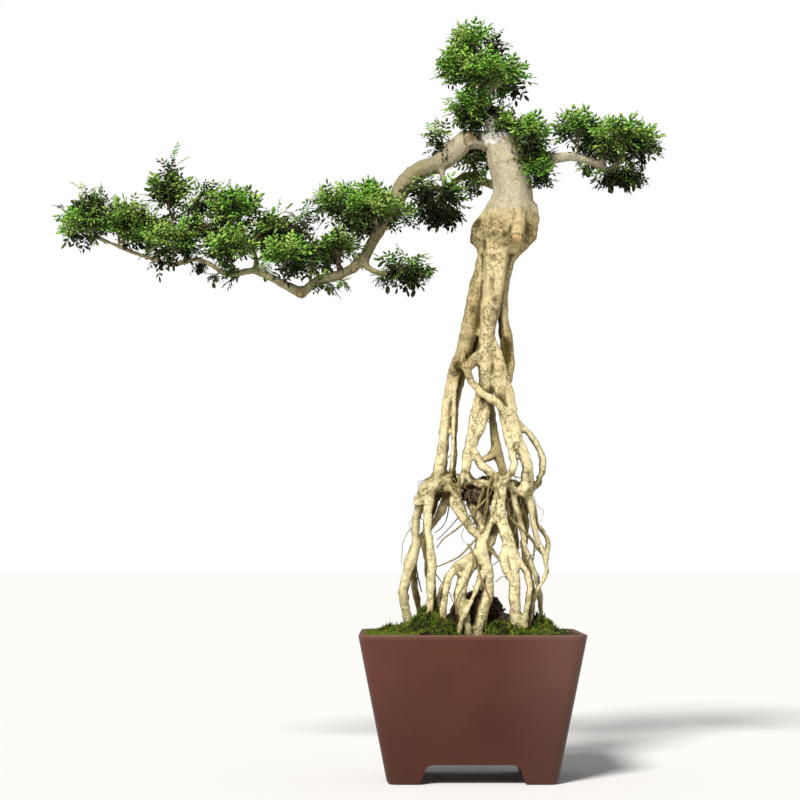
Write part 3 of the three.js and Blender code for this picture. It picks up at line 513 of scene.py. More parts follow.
def bark_finish(stem_colour, root_colour):
    """Bark by height: grey-cream stem, ochre knob and columns, pale speckled roots, stained feet.

    Stored on the points are crease_shade, painted shade that is 1 deep in a fold or pit, shelter,
    painted shade that is 1 where other wood stands close round, ring, which is 1 on the line round a scar,
    pitted for rough old bark, rust for reddish streaks, flank, painted shade that is 0 where
    the wood faces the front and 1 where it faces aside or back, which on the hair roots gives their browner
    bark, sawn for cut wood and dead for bleached bare wood. The wood towards the back is painted darker and
    browner, as shade.
    """
    bark = Finish("Bark")
    tone, lumps = bark.mottle(0.05, 0.003)
    small_tone, small_lumps = bark.mottle(0.009, 0.0012)
    speckle = bark.flecks(0.0046, 0.55, 0.25)
    scribble = bark.use("Scribble", "Mask", Size=0.014, Width=0.016)
    east, back, height = bark.place("X", "Y", "Z")
    east = east - TREE_FOOT[0]
    columns = height.ramp(0.60, 0.66) * height.ramp(0.87, 0.84)
    ledge = height.ramp(0.44, 0.45) * height.ramp(0.498, 0.486)
    cloudy = tone.ramp(0.36, 0.66)
    flank, pitted = bark.attribute("flank"), bark.attribute("pitted")
    wave = calculate("ABSOLUTE", east - 0.0415 - calculate("SINE", height * 520.0) * 0.0022)
    wave = wave.ramp(0.0014, 0.0005) * back.ramp(-0.018, -0.022)
    skin = bark.stained(
        bark.mix(height.ramp(0.5, 0.66), root_colour, (0.82, 0.69, 0.39)),
        (height.ramp(0.835, 0.86), 0.6, (0.60, 0.48, 0.25)),
        (height.ramp(0.9, 0.93), 1.0, stem_colour),
        # The left column is darker and browner: partly its own bark, partly painted shade where it stands
        # behind the middle column
        (columns * east.ramp(0.013, 0.003), 0.52, (0.36, 0.29, 0.145)),
        (columns * east.ramp(0.049, 0.055), 0.4, (0.42, 0.33, 0.16)),
        # Painted shade: darker and browner towards the back, away from the light
        (back.ramp(-0.014, 0.026), 0.76, (0.215, 0.15, 0.03)),
        (east.ramp(-0.012, -0.075) * height.ramp(0.62, 0.68), 0.84, (0.29, 0.265, 0.16)),
        (east.ramp(-0.05, -0.1), 0.25, (0.31, 0.28, 0.16)),
        (ledge * tone.ramp(0.4, 0.58), 0.5, (0.17, 0.12, 0.022)),
        # Painted shade on the sides that turn from the front, strongest on the lower roots
        (flank * height.ramp(0.95, 0.86), 0.4, (0.27, 0.19, 0.045)),
        (flank * height.ramp(0.62, 0.52), 0.72, (0.185, 0.128, 0.02)),
        (height.ramp(0.36, 0.25) * small_tone.ramp(0.42, 0.6), 0.5, (0.30, 0.27, 0.075)),
        (cloudy, 0.2, (0.34, 0.28, 0.1)),
        (small_tone.ramp(0.5, 0.66), 0.42, (0.30, 0.22, 0.065)),
        (speckle, 0.55, (0.17, 0.11, 0.022)),
        (bark.flecks(0.0027, 0.6, 0.22), 0.34, (0.2, 0.13, 0.05)),
        (pitted, 0.35, (0.40, 0.30, 0.13)),
        (bark.flecks(0.0036, 1.25, 0.36) * pitted, 0.8, (0.10, 0.062, 0.022)),
        (bark.attribute("rust"), 0.75, (0.30, 0.155, 0.045)),
        (scribble * height.ramp(0.95, 0.88), 0.68, (0.11, 0.07, 0.012)),
        (scars(bark, east, height) * back.ramp(0.01, 0.0), 0.78, (0.1, 0.062, 0.012)),
        (wave * height.ramp(0.935, 0.94) * height.ramp(0.992, 0.985), 0.5, (0.22, 0.17, 0.08)),
        # Painted shade where other wood stands close round
        (bark.attribute("shelter"), 0.8, (0.09, 0.062, 0.006)),
        # Painted shade deep in folds and pits
        (bark.attribute("crease_shade"), 0.88, (0.07, 0.046, 0.005)),
        (bark.attribute("ring"), 0.8, (0.09, 0.055, 0.008)),
        (height.ramp(SOIL_TOP + 0.055, SOIL_TOP + 0.008), 0.45, (0.12, 0.105, 0.016)),
        (bark.attribute("dead"), 1.0, (0.95, 0.92, 0.85)),
        (bark.attribute("sawn"), 0.9, (0.62, 0.39, 0.18)),
    )
    relief_height = small_lumps + lumps * 2.0 - calculate("MAXIMUM", speckle, scribble) * 0.5
    return bark.done(skin, (cloudy, 0.66, 0.88), (relief_height, 0.0013), 0.16)


def leaf_finish(dark, bright):
    """Half-glossy leaflets with a pale midrib, painted dark inside as shade and yellow-green at the tips as
    light.
    """
    leaf = Finish("Leaf")
    cloud, grain = leaf.mottle(0.02, 0.003)
    patch = leaf.use("Mottle", "Tone", Patch=0.045, Grain=0.003)
    tone = leaf.attribute("tone") + cloud * 0.2
    middle = 0.5 * dark + bright * (0.19, 0.24, 0.2)
    lit = leaf.mix(patch.ramp(0.44, 0.56), bright * (0.5, 0.82, 0.42), bright)
    green = leaf.stained(
        leaf.mix(tone.ramp(0.26, 0.54), dark, middle),
        (tone.ramp(0.48, 0.84), 1.0, lit),
        (leaf.attribute("midrib").ramp(0.7, 0.95), 0.22, (0.34, 0.42, 0.12)),
    )
    feed(leaf.inputs["IOR"], 1.26)
    return leaf.done(green, (cloud, 0.3, 0.48), (grain, 0.0003), 0.35)


def plain_finish(name, sizes, ends, dark, light, roughness, depth):
    """Two colours in clouds over a fine grain."""
    plain = Finish(name)
    tone, grain = plain.mottle(*sizes)
    return plain.done(plain.mix(tone.ramp(*ends), dark, light), (tone, *roughness), (grain, depth))


def twig_finish():
    """Grey-brown twig bark with a green cast."""
    colours = ((0.10, 0.072, 0.032), (0.26, 0.20, 0.10))
    return plain_finish("Twig bark", (0.01, 0.0015), (0.35, 0.65), *colours, (0.6, 0.85), 0.0004)


def moss_finish(colour):
    """Moss: painted near-black shade in its hollows and frond feet, yellow-green on its tips, brown where it
    thins.
    """
    moss = Finish("Moss")
    tone, grain = moss.mottle(0.011, 0.0012)
    patches = moss.use("Mottle", "Tone", Patch=0.02, Grain=0.0012)
    tips = moss.stained(
        moss.mix(patches.ramp(0.42, 0.58), colour, colour * (0.34, 0.62, 0.5)),
        (tone.ramp(0.5, 0.64), 0.7, (0.15, 0.09, 0.028)),
    )
    # Painted shade: a low tone, at the foot of the fronds and on the mat, turns the moss near black
    low = calculate("POWER", moss.attribute("tone"), 1.6)
    body = moss.mix(low, (0.004, 0.006, 0.001), tips)
    return moss.done(body, (tone, 0.8, 1.0), (grain, 0.0015), 0.2)


def earth_finish(name, dark, light):
    """Loose earth: two browns in grains, matt and rough."""
    earth = Finish(name)
    tone, grain = earth.mottle(0.006, 0.0018)
    crumbs = earth.flecks(0.005, 1.0, 0.25)
    body = earth.mix(tone.ramp(0.35, 0.7), dark, light)
    body = earth.stained(body, (crumbs, 0.5, np.multiply(2.2, light)))
    return earth.done(body, (tone, 0.85, 1.0), (grain, 0.002), 0.25)


def mesh_finish():
    """Matt black moulded plastic mesh."""
    colours = ((0.014, 0.015, 0.016), (0.03, 0.03, 0.03))
    return plain_finish("Black plastic mesh", (0.01, 0.0008), (0.4, 0.6), *colours, (0.45, 0.6), 0.0001)


# The settings that a user can change


def amount(name, description, default, unit="NONE"):
    """A strength or a length that a user can set."""
    return FloatProperty(name=name, description=description, default=default, unit=unit)


def number(name, description, default, least=0):
    """A whole number that a user can set."""
    return IntProperty(name=name, description=description, default=default, min=least)


def tint(name, description, default):
    """A colour that a user can set."""
    return FloatVectorProperty(name=name, description=description, subtype="COLOR", default=default)


class BonsaiWood(bpy.types.PropertyGroup):
    grain: amount("Surface step", "Size of the wood's surface cells", 0.00252, "LENGTH")
    hair_roots: number("Hair roots", "Fine roots between the raised ones", 80)
    stem_colour: tint("Stem", "Bark of the upper stem", (0.575, 0.52, 0.38))
    root_colour: tint("Roots", "Bark of the raised roots", (0.95, 0.84, 0.50))


class BonsaiLeaves(bpy.types.PropertyGroup):
    shoots: number("Shoots", "Shoots in each spray", 13, 4)
    leaf: amount("Leaf length", "Length of a compound leaf", 0.033, "LENGTH")
    dark: tint("Shaded leaf", "Inner leaves", (0.002, 0.007, 0.001))
    bright: tint("Lit leaf", "Leaves at the lit tips", (0.40, 0.60, 0.12))


class BonsaiGround(bpy.types.PropertyGroup):
    fronds: number("Moss fronds", "Small fronds on each moss mat", 8500)
    crumbs: number("Soil crumbs", "Loose crumbs on the soil and the peat", 2800)
    moss_colour: tint("Moss", "Tips of the moss", (0.40, 0.46, 0.04))


class BonsaiPot(bpy.types.PropertyGroup):
    edge: amount("Edge rounding", "Radius of the pot's worn edges", 0.0014, "LENGTH")
    clay: tint("Clay", "Body colour of the pot", (0.082, 0.023, 0.0125))


class BonsaiStage(bpy.types.PropertyGroup):
    sun: amount("Main light", "Strength of the broad light from the upper left", 4.2)
    sky: amount("Soft light", "Strength of the light from all sides", 0.28)
    floor: tint("Floor", "Colour of the plain floor", (0.9, 0.9, 0.89))


# Wood


def remeshed(name, points, faces, step, smoothing):
    """A skin of even cells over a closed mesh, smoothed, as a new mesh."""
    rough = bpy.data.objects.new(name, make_mesh(name, points, faces))
    bpy.context.scene.collection.objects.link(rough)
    cells = rough.modifiers.new("cells", "REMESH")
    cells.mode = "VOXEL"
    cells.voxel_size = step
    cells.use_smooth_shade = True
    if smoothing:
        soften = rough.modifiers.new("soften", "SMOOTH")
        soften.factor = 0.5
        soften.iterations = smoothing
    made = bpy.data.meshes.new_from_object(rough.evaluated_get(bpy.context.evaluated_depsgraph_get()))
    bpy.data.objects.remove(rough)
    made.name = name
    return made


def mesh_arrays(mesh):
    """Points and normals of a mesh as rows."""
    return rows(mesh.vertices, "co").astype(float), rows(mesh.vertex_normals, "vector").astype(float)


def hollow_depth(mesh, points, normals, rounds):
    """How deep each point lies below the surface round it, in millimetres, and less than 0 on a ridge.

    The surface round a point is the mean of its neighbours' places, taken again for each round.
    """
    a, b = rows(mesh.edges, "vertices", 2, np.int32).T
    count = np.bincount(np.concatenate([a, b]), minlength=len(points))[:, None]
    even = points.copy()
    for _ in range(rounds):
        sums = [
            np.bincount(a, even[b, k], len(points)) + np.bincount(b, even[a, k], len(points))
            for k in range(3)
        ]
        even = np.stack(sums, 1) / count
    return ((even - points) * normals).sum(1) / MM


def shelter_share(points, normals):
    """How much other wood stands close round each point, from 0 to 1: the bark's painted shade.

    Five rays leave the point, one along its normal and four leaning 50 degrees from it. Each goes through
    cells of 4 mm, and the nearer the first cell with wood in it, the more the ray counts.
    """
    cell = 4 * MM
    low = points.min(0) - 12 * cell
    size = np.ceil((points.max(0) - low) / cell).astype(int) + 12
    filled = np.zeros(size, bool)
    filled[tuple(((points - low) / cell).astype(int).T)] = True
    side = unit(np.cross(normals, [0.3, 0.2, 1.0]))
    other = np.cross(normals, side)
    total = np.zeros(len(points))
    for sway, swing in ((0, 0), (1, 0), (-1, 0), (0, 1), (0, -1)):
        way = unit(0.84 * normals + side * sway + other * swing)
        nearest = np.zeros(len(points))
        for reach in SHELTER_REACHES:
            spot = ((points + normals * 3 * MM + way * reach * MM - low) / cell).astype(int)
            nearest = np.where(filled[tuple(spot.T)], 1.15 - reach / 40, nearest)
        total += nearest / 5
    return total


# Old wounds on the front, in millimetres from the foot of the trunk: the middle, half the width, half the
# height, and how deep it sinks
SCARS = (
    (38, -34, 835, 11.0, 6.3, 0.6),  # sawn branch healed over, under the knob
    (29, -32, 787, 4.6, 16.0, 0.9),  # long narrow seam down the middle column
    (36, -30, 766, 7.0, 7.5, 1.6),
    (22, -30, 745, 8.0, 12.0, 0.4),
    (0, -12, 751, 6.4, 8.0, 1.8),
    (-18, -14, 707, 9.3, 5.2, 2.2),
    (-26, -16, 660, 7.0, 8.0, 4.0),  # broken snag at the fork of the left column
    (23, -26, 647, 5.2, 5.8, 0.8),
    (6, -14, 894, 7.0, 7.6, 3.2),  # dead eye on the knob's left lobe
    (90, -18, 881, 8.7, 9.9, 2.4),
    (11, -14, 1034, 5.3, 5.8, 3.4),  # pit above the long branch
    (-7, -14, 1028, 7.6, 8.8, 1.0),
    (52, -26, 993, 7.6, 2.0, 0.9),
    (55, 0, 688, 8.7, 22.0, 5.0),  # long hollow in the right column
    (34, -40, 873, 9.8, 4.6, 3.0),
    (51, -40, 870, 5.8, 8.6, 3.4),
    (84, -24, 869, 6.4, 8.7, 2.4),
    (31, -22, 1035, 7.0, 5.2, 1.0),
    (14, -26, 650, 4.1, 4.6, 0.6),
    (45, -20, 614, 6.4, 14.5, 0.7),
    (7, -8, 513, 6.4, 5.8, 0.7),
    (45, -34, 377, 8.6, 8.6, 0.8),
    (-28, -42, 322, 6.9, 2.3, 0.8),
    (68, -14, 530, 5.8, 8.7, 0.8),
)
# The cut end of the stub on the knob and of a short spur on the long branch: the middle, the reach, and how
# fresh the cut is
SAWN_FACES = (((68, -58, 857), 11.5, 1.0), ((-281, -52, 770), 7.0, 0.25))


# Rough pitted bark, in millimetres from the foot of the trunk: the middle, half the width, half the height
PITTED = (
    (26, 884, 30, 19),
    (-6, 866, 14, 30),
    (95, 872, 12, 34),
    (-4, 770, 16, 80),
    (-22, 662, 22, 34),
    (60, 690, 14, 40),
    (52, 862, 18, 10),
)
# The patch of the stem with rusty streaks, in the same form
RUSTY_PATCH = (-3, 1040, 18, 24)
# What counts as trunk, by its middle and half its width across, and how far a scar reaches in depth
TRUNK_MIDDLE = 45
TRUNK_HALF = 75
SCAR_DEPTH = 26


def oval_distance(place, x, z, half_width, half_height):
    """How far each point lies from the middle of an oval as seen from the front, and 1 on its edge."""
    return np.hypot((place[:, 0] - x) / half_width, (place[:, 2] - z) / half_height)


def make_wood(settings):
    """The tree's wood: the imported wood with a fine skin, raised and sunk along its normals.

    The rise is a sum of reliefs: long flutes on the stem and columns, whose Z is squeezed to a fifth, deep
    pits on the knob, lumps on the roots, and a fine grain everywhere. A scar sinks inside its oval by a bell
    of the oval distance d, and stands up round its edge by a bell of d - 1.1.
    """
    mesh = remeshed("bark", *merged_node(TREE), settings.grain, 4)
    points, normals = mesh_arrays(mesh)
    deep = hollow_depth(mesh, points, normals, 24)
    place = (points - TREE_FOOT) / MM
    across, height = place[:, 0], place[:, 2]
    trunk = (np.abs(across - TRUNK_MIDDLE) < TRUNK_HALF).astype(float)
    stem = blend(915, 955, height) * trunk
    knob = band(height, (838, 864), (912, 930)) * trunk
    column = band(height, (640, 700), (835, 868)) * trunk
    root = 1 - blend(620, 690, height)
    branch = blend(640, 700, height) * (1 - trunk)
    ledge = band(height, (440, 455), (485, 500))
    squeezed = place * np.array([1.0, 1.0, 0.2])
    cracks = bell(relief(place, 15, 8) / 0.12) + 0.8 * bell(relief(place, 8, 18) / 0.16)
    lobe = blend(62, 48, across) * blend(-16, -6, across)
    crack = np.minimum(cracks, 1) * np.maximum(knob * (0.2 + 0.35 * lobe), 0.7 * ledge)
    rise = 0.3 + 0.5 * relief(place, 4.4, 2)
    rise += stem * (1.3 * relief(squeezed, 19, 3) + 0.7 * relief(place, 9, 4))
    rise += column * (2.2 * relief(squeezed, 13, 5) + 1.5 * relief(place, 8.5, 6))
    rise += knob * (2.6 * relief(place, 17, 7) + 1.6 * relief(place, 6.5, 11) + 0.8) - 2.4 * crack
    rise += root * (1.5 * relief(place, 21, 9) + 1.3 * relief(place, 8, 10))
    rise += branch * (0.9 * relief(place, 16, 12) + 0.6 * relief(place, 7, 13))
    rise += ledge * 2.2 * relief(place, 6.5, 14)
    rise *= 1 - 0.35 * blend(-2.0, -4.0, deep)
    ring, pit, pitted, sawn = np.zeros((4, len(points)))
    front = blend(0.05, 0.5, -normals[:, 1])
    for x, y, z, half_width, half_height, sink in SCARS:
        ragged = 1 + 0.22 * relief(place, 5.0, 15)
        d = oval_distance(place, x, z, half_width, half_height) * ragged
        here = front * (np.abs(place[:, 1] - y) < SCAR_DEPTH)
        rise += here * (0.9 * bell((d - 1.1) / 0.3) - sink * bell(d / 0.75))
        ring = np.maximum(ring, 0.4 * here * bell((d - 0.85) / 0.2))
        core = bell((d / 0.9) ** 2) if sink >= 4 else bell(d / 0.58)
        pit = np.maximum(pit, here * min(sink / 3.8, 1.0) * core)
    random = np.random.default_rng(5)
    spots = np.flatnonzero((height > 240) & (height < 1000) & (trunk > 0))
    for spot in random.choice(spots, 60):
        d = np.linalg.norm((place - place[spot]) / random.uniform(2.6, 5.5), axis=1)
        rise += 0.8 * bell((d - 1.1) / 0.3) - 0.7 * bell(d / 0.8)
        ring = np.maximum(ring, 0.6 * bell((d - 0.85) / 0.2))
    sunk = blend(0.6, 3.2, 0.3 - rise) * 0.7
    # Painted shade deep in folds, sunk places, pits and cracks
    crease_shade = np.clip(blend(0.3, 1.9, deep) + sunk + pit + 0.8 * crack, 0, 1)
    # Painted shade where other wood stands close round
    shelter = blend(0.1, 0.5, shelter_share(points, normals))
    for patch in PITTED:
        pitted = np.maximum(pitted, bell(oval_distance(place, *patch)))
    streaks = blend(0.0, 0.35, relief(place * np.array([1.0, 1.0, 0.5]), 4.5, 26))
    rust = streaks * bell(oval_distance(place, *RUSTY_PATCH))
    move_points(mesh, points + normals * (rise * MM)[:, None])
    for middle, reach, fresh in SAWN_FACES:
        gap = np.linalg.norm(place - middle, axis=1)
        facing = blend(0.3, 0.6, -normals[:, 1] - 0.5 * normals[:, 2])
        sawn = np.maximum(sawn, fresh * blend(reach, reach * 0.8, gap) * facing)
        ring = np.maximum(ring, bell((gap - reach) / 1.6))
    bleached = np.linalg.norm((place - [36, 0, 1064]) * [1.0, 0.6, 0.8], axis=1)
    dead = blend(44, 24, bleached) * blend(6, 18, across) + 0.35 * relief(place, 6, 29)
    rough = blend(0.25, 0.7, pitted + 0.2 * relief(place, 9, 27))
    uncut = {"crease_shade": crease_shade, "shelter": shelter, "ring": ring, "pitted": rough, "rust": rust}
    set_values(mesh, **{name: value * (1 - sawn) for name, value in uncut.items()})
    # Painted shade on the sides that turn from the front
    set_values(mesh, flank=blend(0.72, 0.12, -normals[:, 1]), sawn=sawn, dead=blend(0.42, 0.62, dead))
    return mesh


# Thin roots that can be told apart, in millimetres from the foot of the trunk, each with its greatest radius
THIN_ROOTS = (
    (2.1, (21, -20, 446), (3, -24, 428), (-14, -26, 409), (-34, -29, 392), (-50, -32, 380), (-60, -34, 367)),
    (2.0, (4, -16, 382), (-8, -20, 368), (-22, -24, 355), (-44, -28, 344), (-62, -32, 336)),
    (3.2, (80, 0, 394), (95, 2, 379), (104, 3, 365), (116, 2, 353)),
    (1.0, (82, 0, 336), (92, 0, 352), (103, 2, 365)),
    (2.2, (26, -12, 370), (38, -16, 353), (50, -28, 338)),
    (3.4, (20, -14, 368), (34, -20, 354), (46, -30, 340), (56, -36, 328)),
    (0.7, (-17, -20, 397), (-20, -23, 382), (-11, -26, 371)),
    (0.9, (27, -20, 385), (21, -22, 377), (31, -24, 364)),
    (0.9, (66, -30, 359), (63, -28, 345), (61, -26, 328)),
    (0.9, (35, -10, 313), (44, -5, 318), (53, 0, 316)),
    (0.8, (-97, 0, 402), (-110, -5, 385), (-115, -7, 359), (-117, -10, 340)),
    (1.8, (-97, 8, 356), (-91, 15, 327), (-84, 20, 296)),
    (1.6, (-108, 0, 342), (-99, 2, 322), (-90, 4, 296)),
    (2.2, (-25, -22, 482), (-24, -25, 460), (-22, -26, 444)),
    (2.6, (-37, -18, 474), (-29, -19, 455), (-19, -18, 439), (-12, -14, 421)),
    (2.6, (15, -24, 462), (9, -23, 440), (4, -21, 423), (0, -14, 405)),
    (2.4, (27, -26, 477), (22, -25, 454), (21, -23, 431), (12, -16, 408)),
    (2.4, (48, -10, 440), (62, -7, 411), (77, -3, 397), (90, 0, 384)),
    (1.8, (68, 0, 458), (66, 0, 432), (68, 0, 408)),
    (2.2, (78, 4, 462), (82, 7, 441), (92, 8, 420)),
    (1.0, (92, 2, 386), (74, 0, 368), (66, -4, 356)),
    (1.6, (98, 4, 372), (95, 6, 345), (89, 7, 328), (93, 8, 307), (96, 8, 280)),
    (2.4, (-10, -30, 372), (-3, -41, 357), (-2, -47, 342), (-8, -52, 320), (-27, -56, 286), (-30, -58, 262)),
    (2.0, (2, -26, 354), (6, -36, 330), (14, -38, 310), (24, -36, 288), (20, -40, 262), (16, -42, 236)),
    (1.2, (-34, -12, 520), (-48, -13, 503), (-62, -6, 496)),
    (1.8, (-62, -6, 481), (-77, -11, 469), (-88, -12, 450)),
    (1.6, (-44, -10, 481), (-60, -13, 461), (-74, -16, 441)),
    (2.4, (38, -22, 480), (38, -26, 456), (44, -26, 436)),
    (1.4, (17, -10, 590), (21, -7, 577), (25, -2, 569)),
    (1.0, (19, -14, 388), (14, -14, 374), (18, -14, 362)),
    (1.3, (-52, 24, 470), (-40, 30, 440), (-46, 34, 410), (-62, 40, 392)),
    (1.4, (20, 38, 462), (38, 44, 436), (44, 48, 404), (60, 50, 388)),
    (1.2, (0, 34, 460), (-14, 40, 430), (-30, 44, 408), (-58, 50, 380)),
    (1.1, (66, 52, 380), (48, 56, 350), (26, 58, 334)),
    (1.0, (-66, 58, 330), (-40, 62, 300), (-24, 62, 262)),
)


def make_hair_roots(settings):
    """Thin roots: those that can be told apart, and many finer ones between the raised roots.

    A fine one runs from a point of the wood to a lower one as a straight line plus a bow that is a half sine
    wave, and a small random wander that is nothing at both ends. Its radius shrinks along it.
    """
    random = np.random.default_rng(71)
    t = np.linspace(0, 1, 14)
    still = (np.sin(math.pi * t) ** 0.5)[:, None]
    known_radii = [[radius] for radius, *corners in THIN_ROOTS]
    known = np.array([smooth_path(corners, len(t)) for radius, *corners in THIN_ROOTS])
    known += np.cumsum(random.normal(0, 0.5, known.shape), axis=1) * still
    wood = (node_points(TREE) - TREE_FOOT) / MM
    low = wood[(wood[:, 2] > HAIR_ROOT_BAND[0]) & (wood[:, 2] < HAIR_ROOT_BAND[1])]
    starts, ends = low[random.integers(0, len(low), (2, 30 * settings.hair_roots))]
    drop = starts[:, 2] - ends[:, 2]
    apart = np.linalg.norm((starts - ends)[:, :2], axis=1)
    good = (drop > 14) & (drop < 75) & (apart > 8) & (apart < 34)
    starts, ends = starts[good][: settings.hair_roots], ends[good][: settings.hair_roots]
    straight = lines_between(starts, ends, t)
    bow = random.normal(0, 6.0, (len(starts), 1, 3)) * np.sin(math.pi * t)[:, None]
    wander = np.cumsum(random.normal(0, 1.8, straight.shape), axis=1) * still
    paths = TREE_FOOT + np.concatenate([known, straight + bow + wander]) * MM
    radii = np.concatenate([known_radii, random.uniform(0.5, 1.25, (len(starts), 1))])
    mesh = make_mesh("hair_roots", *tubes(paths, radii * (1 - 0.45 * t) * MM, 5))
    # The other values that the bark reads are 0 where a mesh doesn't store them
    whole = np.ones(len(mesh.vertices))
    # The hair roots take a fixed share of the painted shade where wood stands close, and the side shade
    # colour, which on them gives their browner bark
    set_values(mesh, shelter=0.34 * whole, flank=0.72 * whole)
    return mesh


# Leaves


# A leaflet of length 1: six corners round its edge, then the midrib. Its underside folds along the rib.
LEAFLET = np.array(
    [[0.0, 0.0, 0.0], [0.3, 0.18, 0.05], [0.7, 0.19, 0.03], [1.0, 0.0, -0.06], [0.7, -0.19, 0.03]]
    + [[0.3, -0.18, 0.05], [0.5, 0.0, 0.0]]
)
LEAFLET_UNDERSIDE = [[0, 1, 2], [0, 2, 3], [0, 3, 4], [0, 4, 5]]
LEAFLET_FACES = np.array([[k, 6, (k + 1) % 6] for k in range(6)] + LEAFLET_UNDERSIDE)
LEAFLET_MIDRIB = np.array([1.0, 0.0, 0.0, 1.0, 0.0, 0.0, 1.0])


def leaflets(origins, along, faces_up, lengths, tones, breadth=1.0):
    """Leaflets: a folded six-cornered blade, broadest past its middle, set at many places at once."""
    across = unit(np.cross(faces_up, along))
    axes = np.stack([along, across * breadth, np.cross(along, across)], axis=1)
    points = origins[:, None] + lengths[:, None, None] * np.einsum("pk,nkd->npd", LEAFLET, axes)
    values = np.stack([np.repeat(tones, len(LEAFLET)), np.tile(LEAFLET_MIDRIB, len(origins))], 1)
    return *copies(points, LEAFLET_FACES), values


def stalks(paths, radii, sides, tones):
    """Tubes with the values that a leaf's points have."""
    points, faces = tubes(paths, radii, sides)
    values = np.repeat(np.stack([tones, np.ones(len(tones))], 1), len(points) // len(tones), axis=0)
    return points, faces, values


def compound_leaves(roots, along, faces_up, lengths, tones, pairs, random):
    """Pinnate leaves. The rib is root + s l t - 0.22 l t^2 n, and pairs of leaflets stand along it.

    A leaflet of a pair leans forward from square by about 30 degrees, and one more ends the rib.
    """
    across = unit(np.cross(faces_up, along))
    normal = np.cross(along, across)
    count = len(roots)
    long = lengths[:, None]
    droop = 0.22 * random.uniform(0.3, 1.4, (count, 1))
    t = np.linspace(0, 1, 3)[:, None]
    rib = roots[:, None] + long[:, None] * (along[:, None] * t - (normal * droop)[:, None] * t**2)
    parts = [stalks(rib, np.full((count, 3), 0.35 * MM), 3, tones * 0.8)]
    for share in np.linspace(0.3, 0.86, pairs):
        middle = roots + long * (along * share - normal * droop * share**2)
        for side in (-1.0, 1.0):
            forward = random.uniform(0.35, 0.8, (count, 1))
            way = unit(across * side + along * forward - normal * random.uniform(0.0, 0.4, (count, 1)))
            face = unit(normal + random.normal(0, 0.24, (count, 3)))
            size = lengths * random.uniform(0.31, 0.46, count)
            parts.append(leaflets(middle, way, face, size, tones + random.normal(0, 0.1, count)))
    way = unit(rib[:, -1] - rib[:, -2] + random.normal(0, 0.1, (count, 3)) * MM)
    size = lengths * random.uniform(0.35, 0.45, count)
    parts.append(leaflets(rib[:, -1], way, normal, size, tones + 0.05))
    return joined(parts)


def spray_frame(name):
    """The heart and the reach of a packed spray, and the point where its twig leaves the wood.

    The heart is the middle of the spray's points without its twig's foot, and the reach is how far its
    points go from there along each axis.
    """
    points = node_points(name)
    wood = node_points(TREE)
    nearby = wood[np.all(np.abs(wood - points.mean(0)) < 160 * MM, axis=1)]
    gaps = [np.min(np.linalg.norm(nearby - point, axis=1)) for point in points]
    foot = points[np.argmin(gaps)]
    apart = np.linalg.norm(points - foot, axis=1)
    body = points[apart > 0.3 * apart.max()]
    heart = (np.median(body, axis=0) + (body.min(0) + body.max(0)) / 2) / 2
    reach = np.maximum(np.maximum(body.max(0) - heart, heart - body.min(0)), LEAST_REACH)
    return heart, reach, foot


def leaves_along(paths, heart, reach, limit, leaf, low, random):
    """Pinnate leaves in crossed pairs along the outer part of each shoot, each pair turned a quarter round.

    A leaf leans forward along its shoot, and shortens where it would go past the limit, which counts in
    reaches from the heart. Faces turn up and outwards. Painted light makes a leaf brighter the higher and
    the farther out it stands, and painted shade makes inner leaves and hanging sprays darker. Each shoot
    is also brighter or darker as a whole.
    """
    forward = unit(np.gradient(paths, axis=1))[:, 2:]
    side = unit(np.cross(forward, [0.0, 0.0, 1.0]) + 1e-6)
    third = np.cross(side, forward)
    count, pairs = forward.shape[:2]
    angle = random.uniform(0, 0.8, (count, pairs)) + (np.arange(pairs) % 2) * math.pi / 2
    angle = (angle[..., None] + [0.0, math.pi])[..., None]
    spokes = side[:, :, None] * np.cos(angle) + third[:, :, None] * np.sin(angle)
    last = np.where(np.arange(pairs) == pairs - 1, 0.9, 0)[:, None, None]
    lean = random.uniform(0.5, 1.2, (count, pairs, 1, 1)) + last
    lift = [0.0, 0.0, -0.35 if low else 0.2]
    wobble = random.normal(0, 0.2, spokes.shape)
    ways = unit(spokes + forward[:, :, None] * lean + lift + wobble).reshape(-1, 3)
    roots = np.repeat(paths[:, 2:, None], 2, axis=2).reshape(-1, 3)
    share = np.tile(np.repeat(np.linspace(1.08, 0.72, pairs), 2), count)
    lengths = leaf * share * random.uniform(0.7, 1.1, len(roots))
    edge = np.repeat(limit, 2 * pairs)
    outer = np.linalg.norm((roots + ways * lengths[:, None] - heart) / reach, axis=1)
    lengths *= np.clip(edge / np.maximum(outer, 1e-6), 0.5, 1.0)
    outwards = (roots + ways * lengths[:, None] - heart) / reach
    faces_up = unit(unit(outwards) * 0.75 + [0.0, 0.0, 0.75] + random.normal(0, 0.35, ways.shape))
    spread = np.linalg.norm(outwards, axis=1)
    kept = spread < edge + 0.06
    # Painted light on high and outer leaves, painted shade on inner leaves and hanging sprays
    lit = (0.06 if low else 0.24) + 0.4 * np.clip(outwards[:, 2], -1, 1)
    lit += 0.5 * (np.minimum(spread, 1.1) - 0.6)
    lit += np.repeat(random.normal(0, 0.17, count), 2 * pairs) + random.normal(0, 0.16, len(roots))
    return compound_leaves(roots[kept], ways[kept], faces_up[kept], lengths[kept], lit[kept], 3, random)


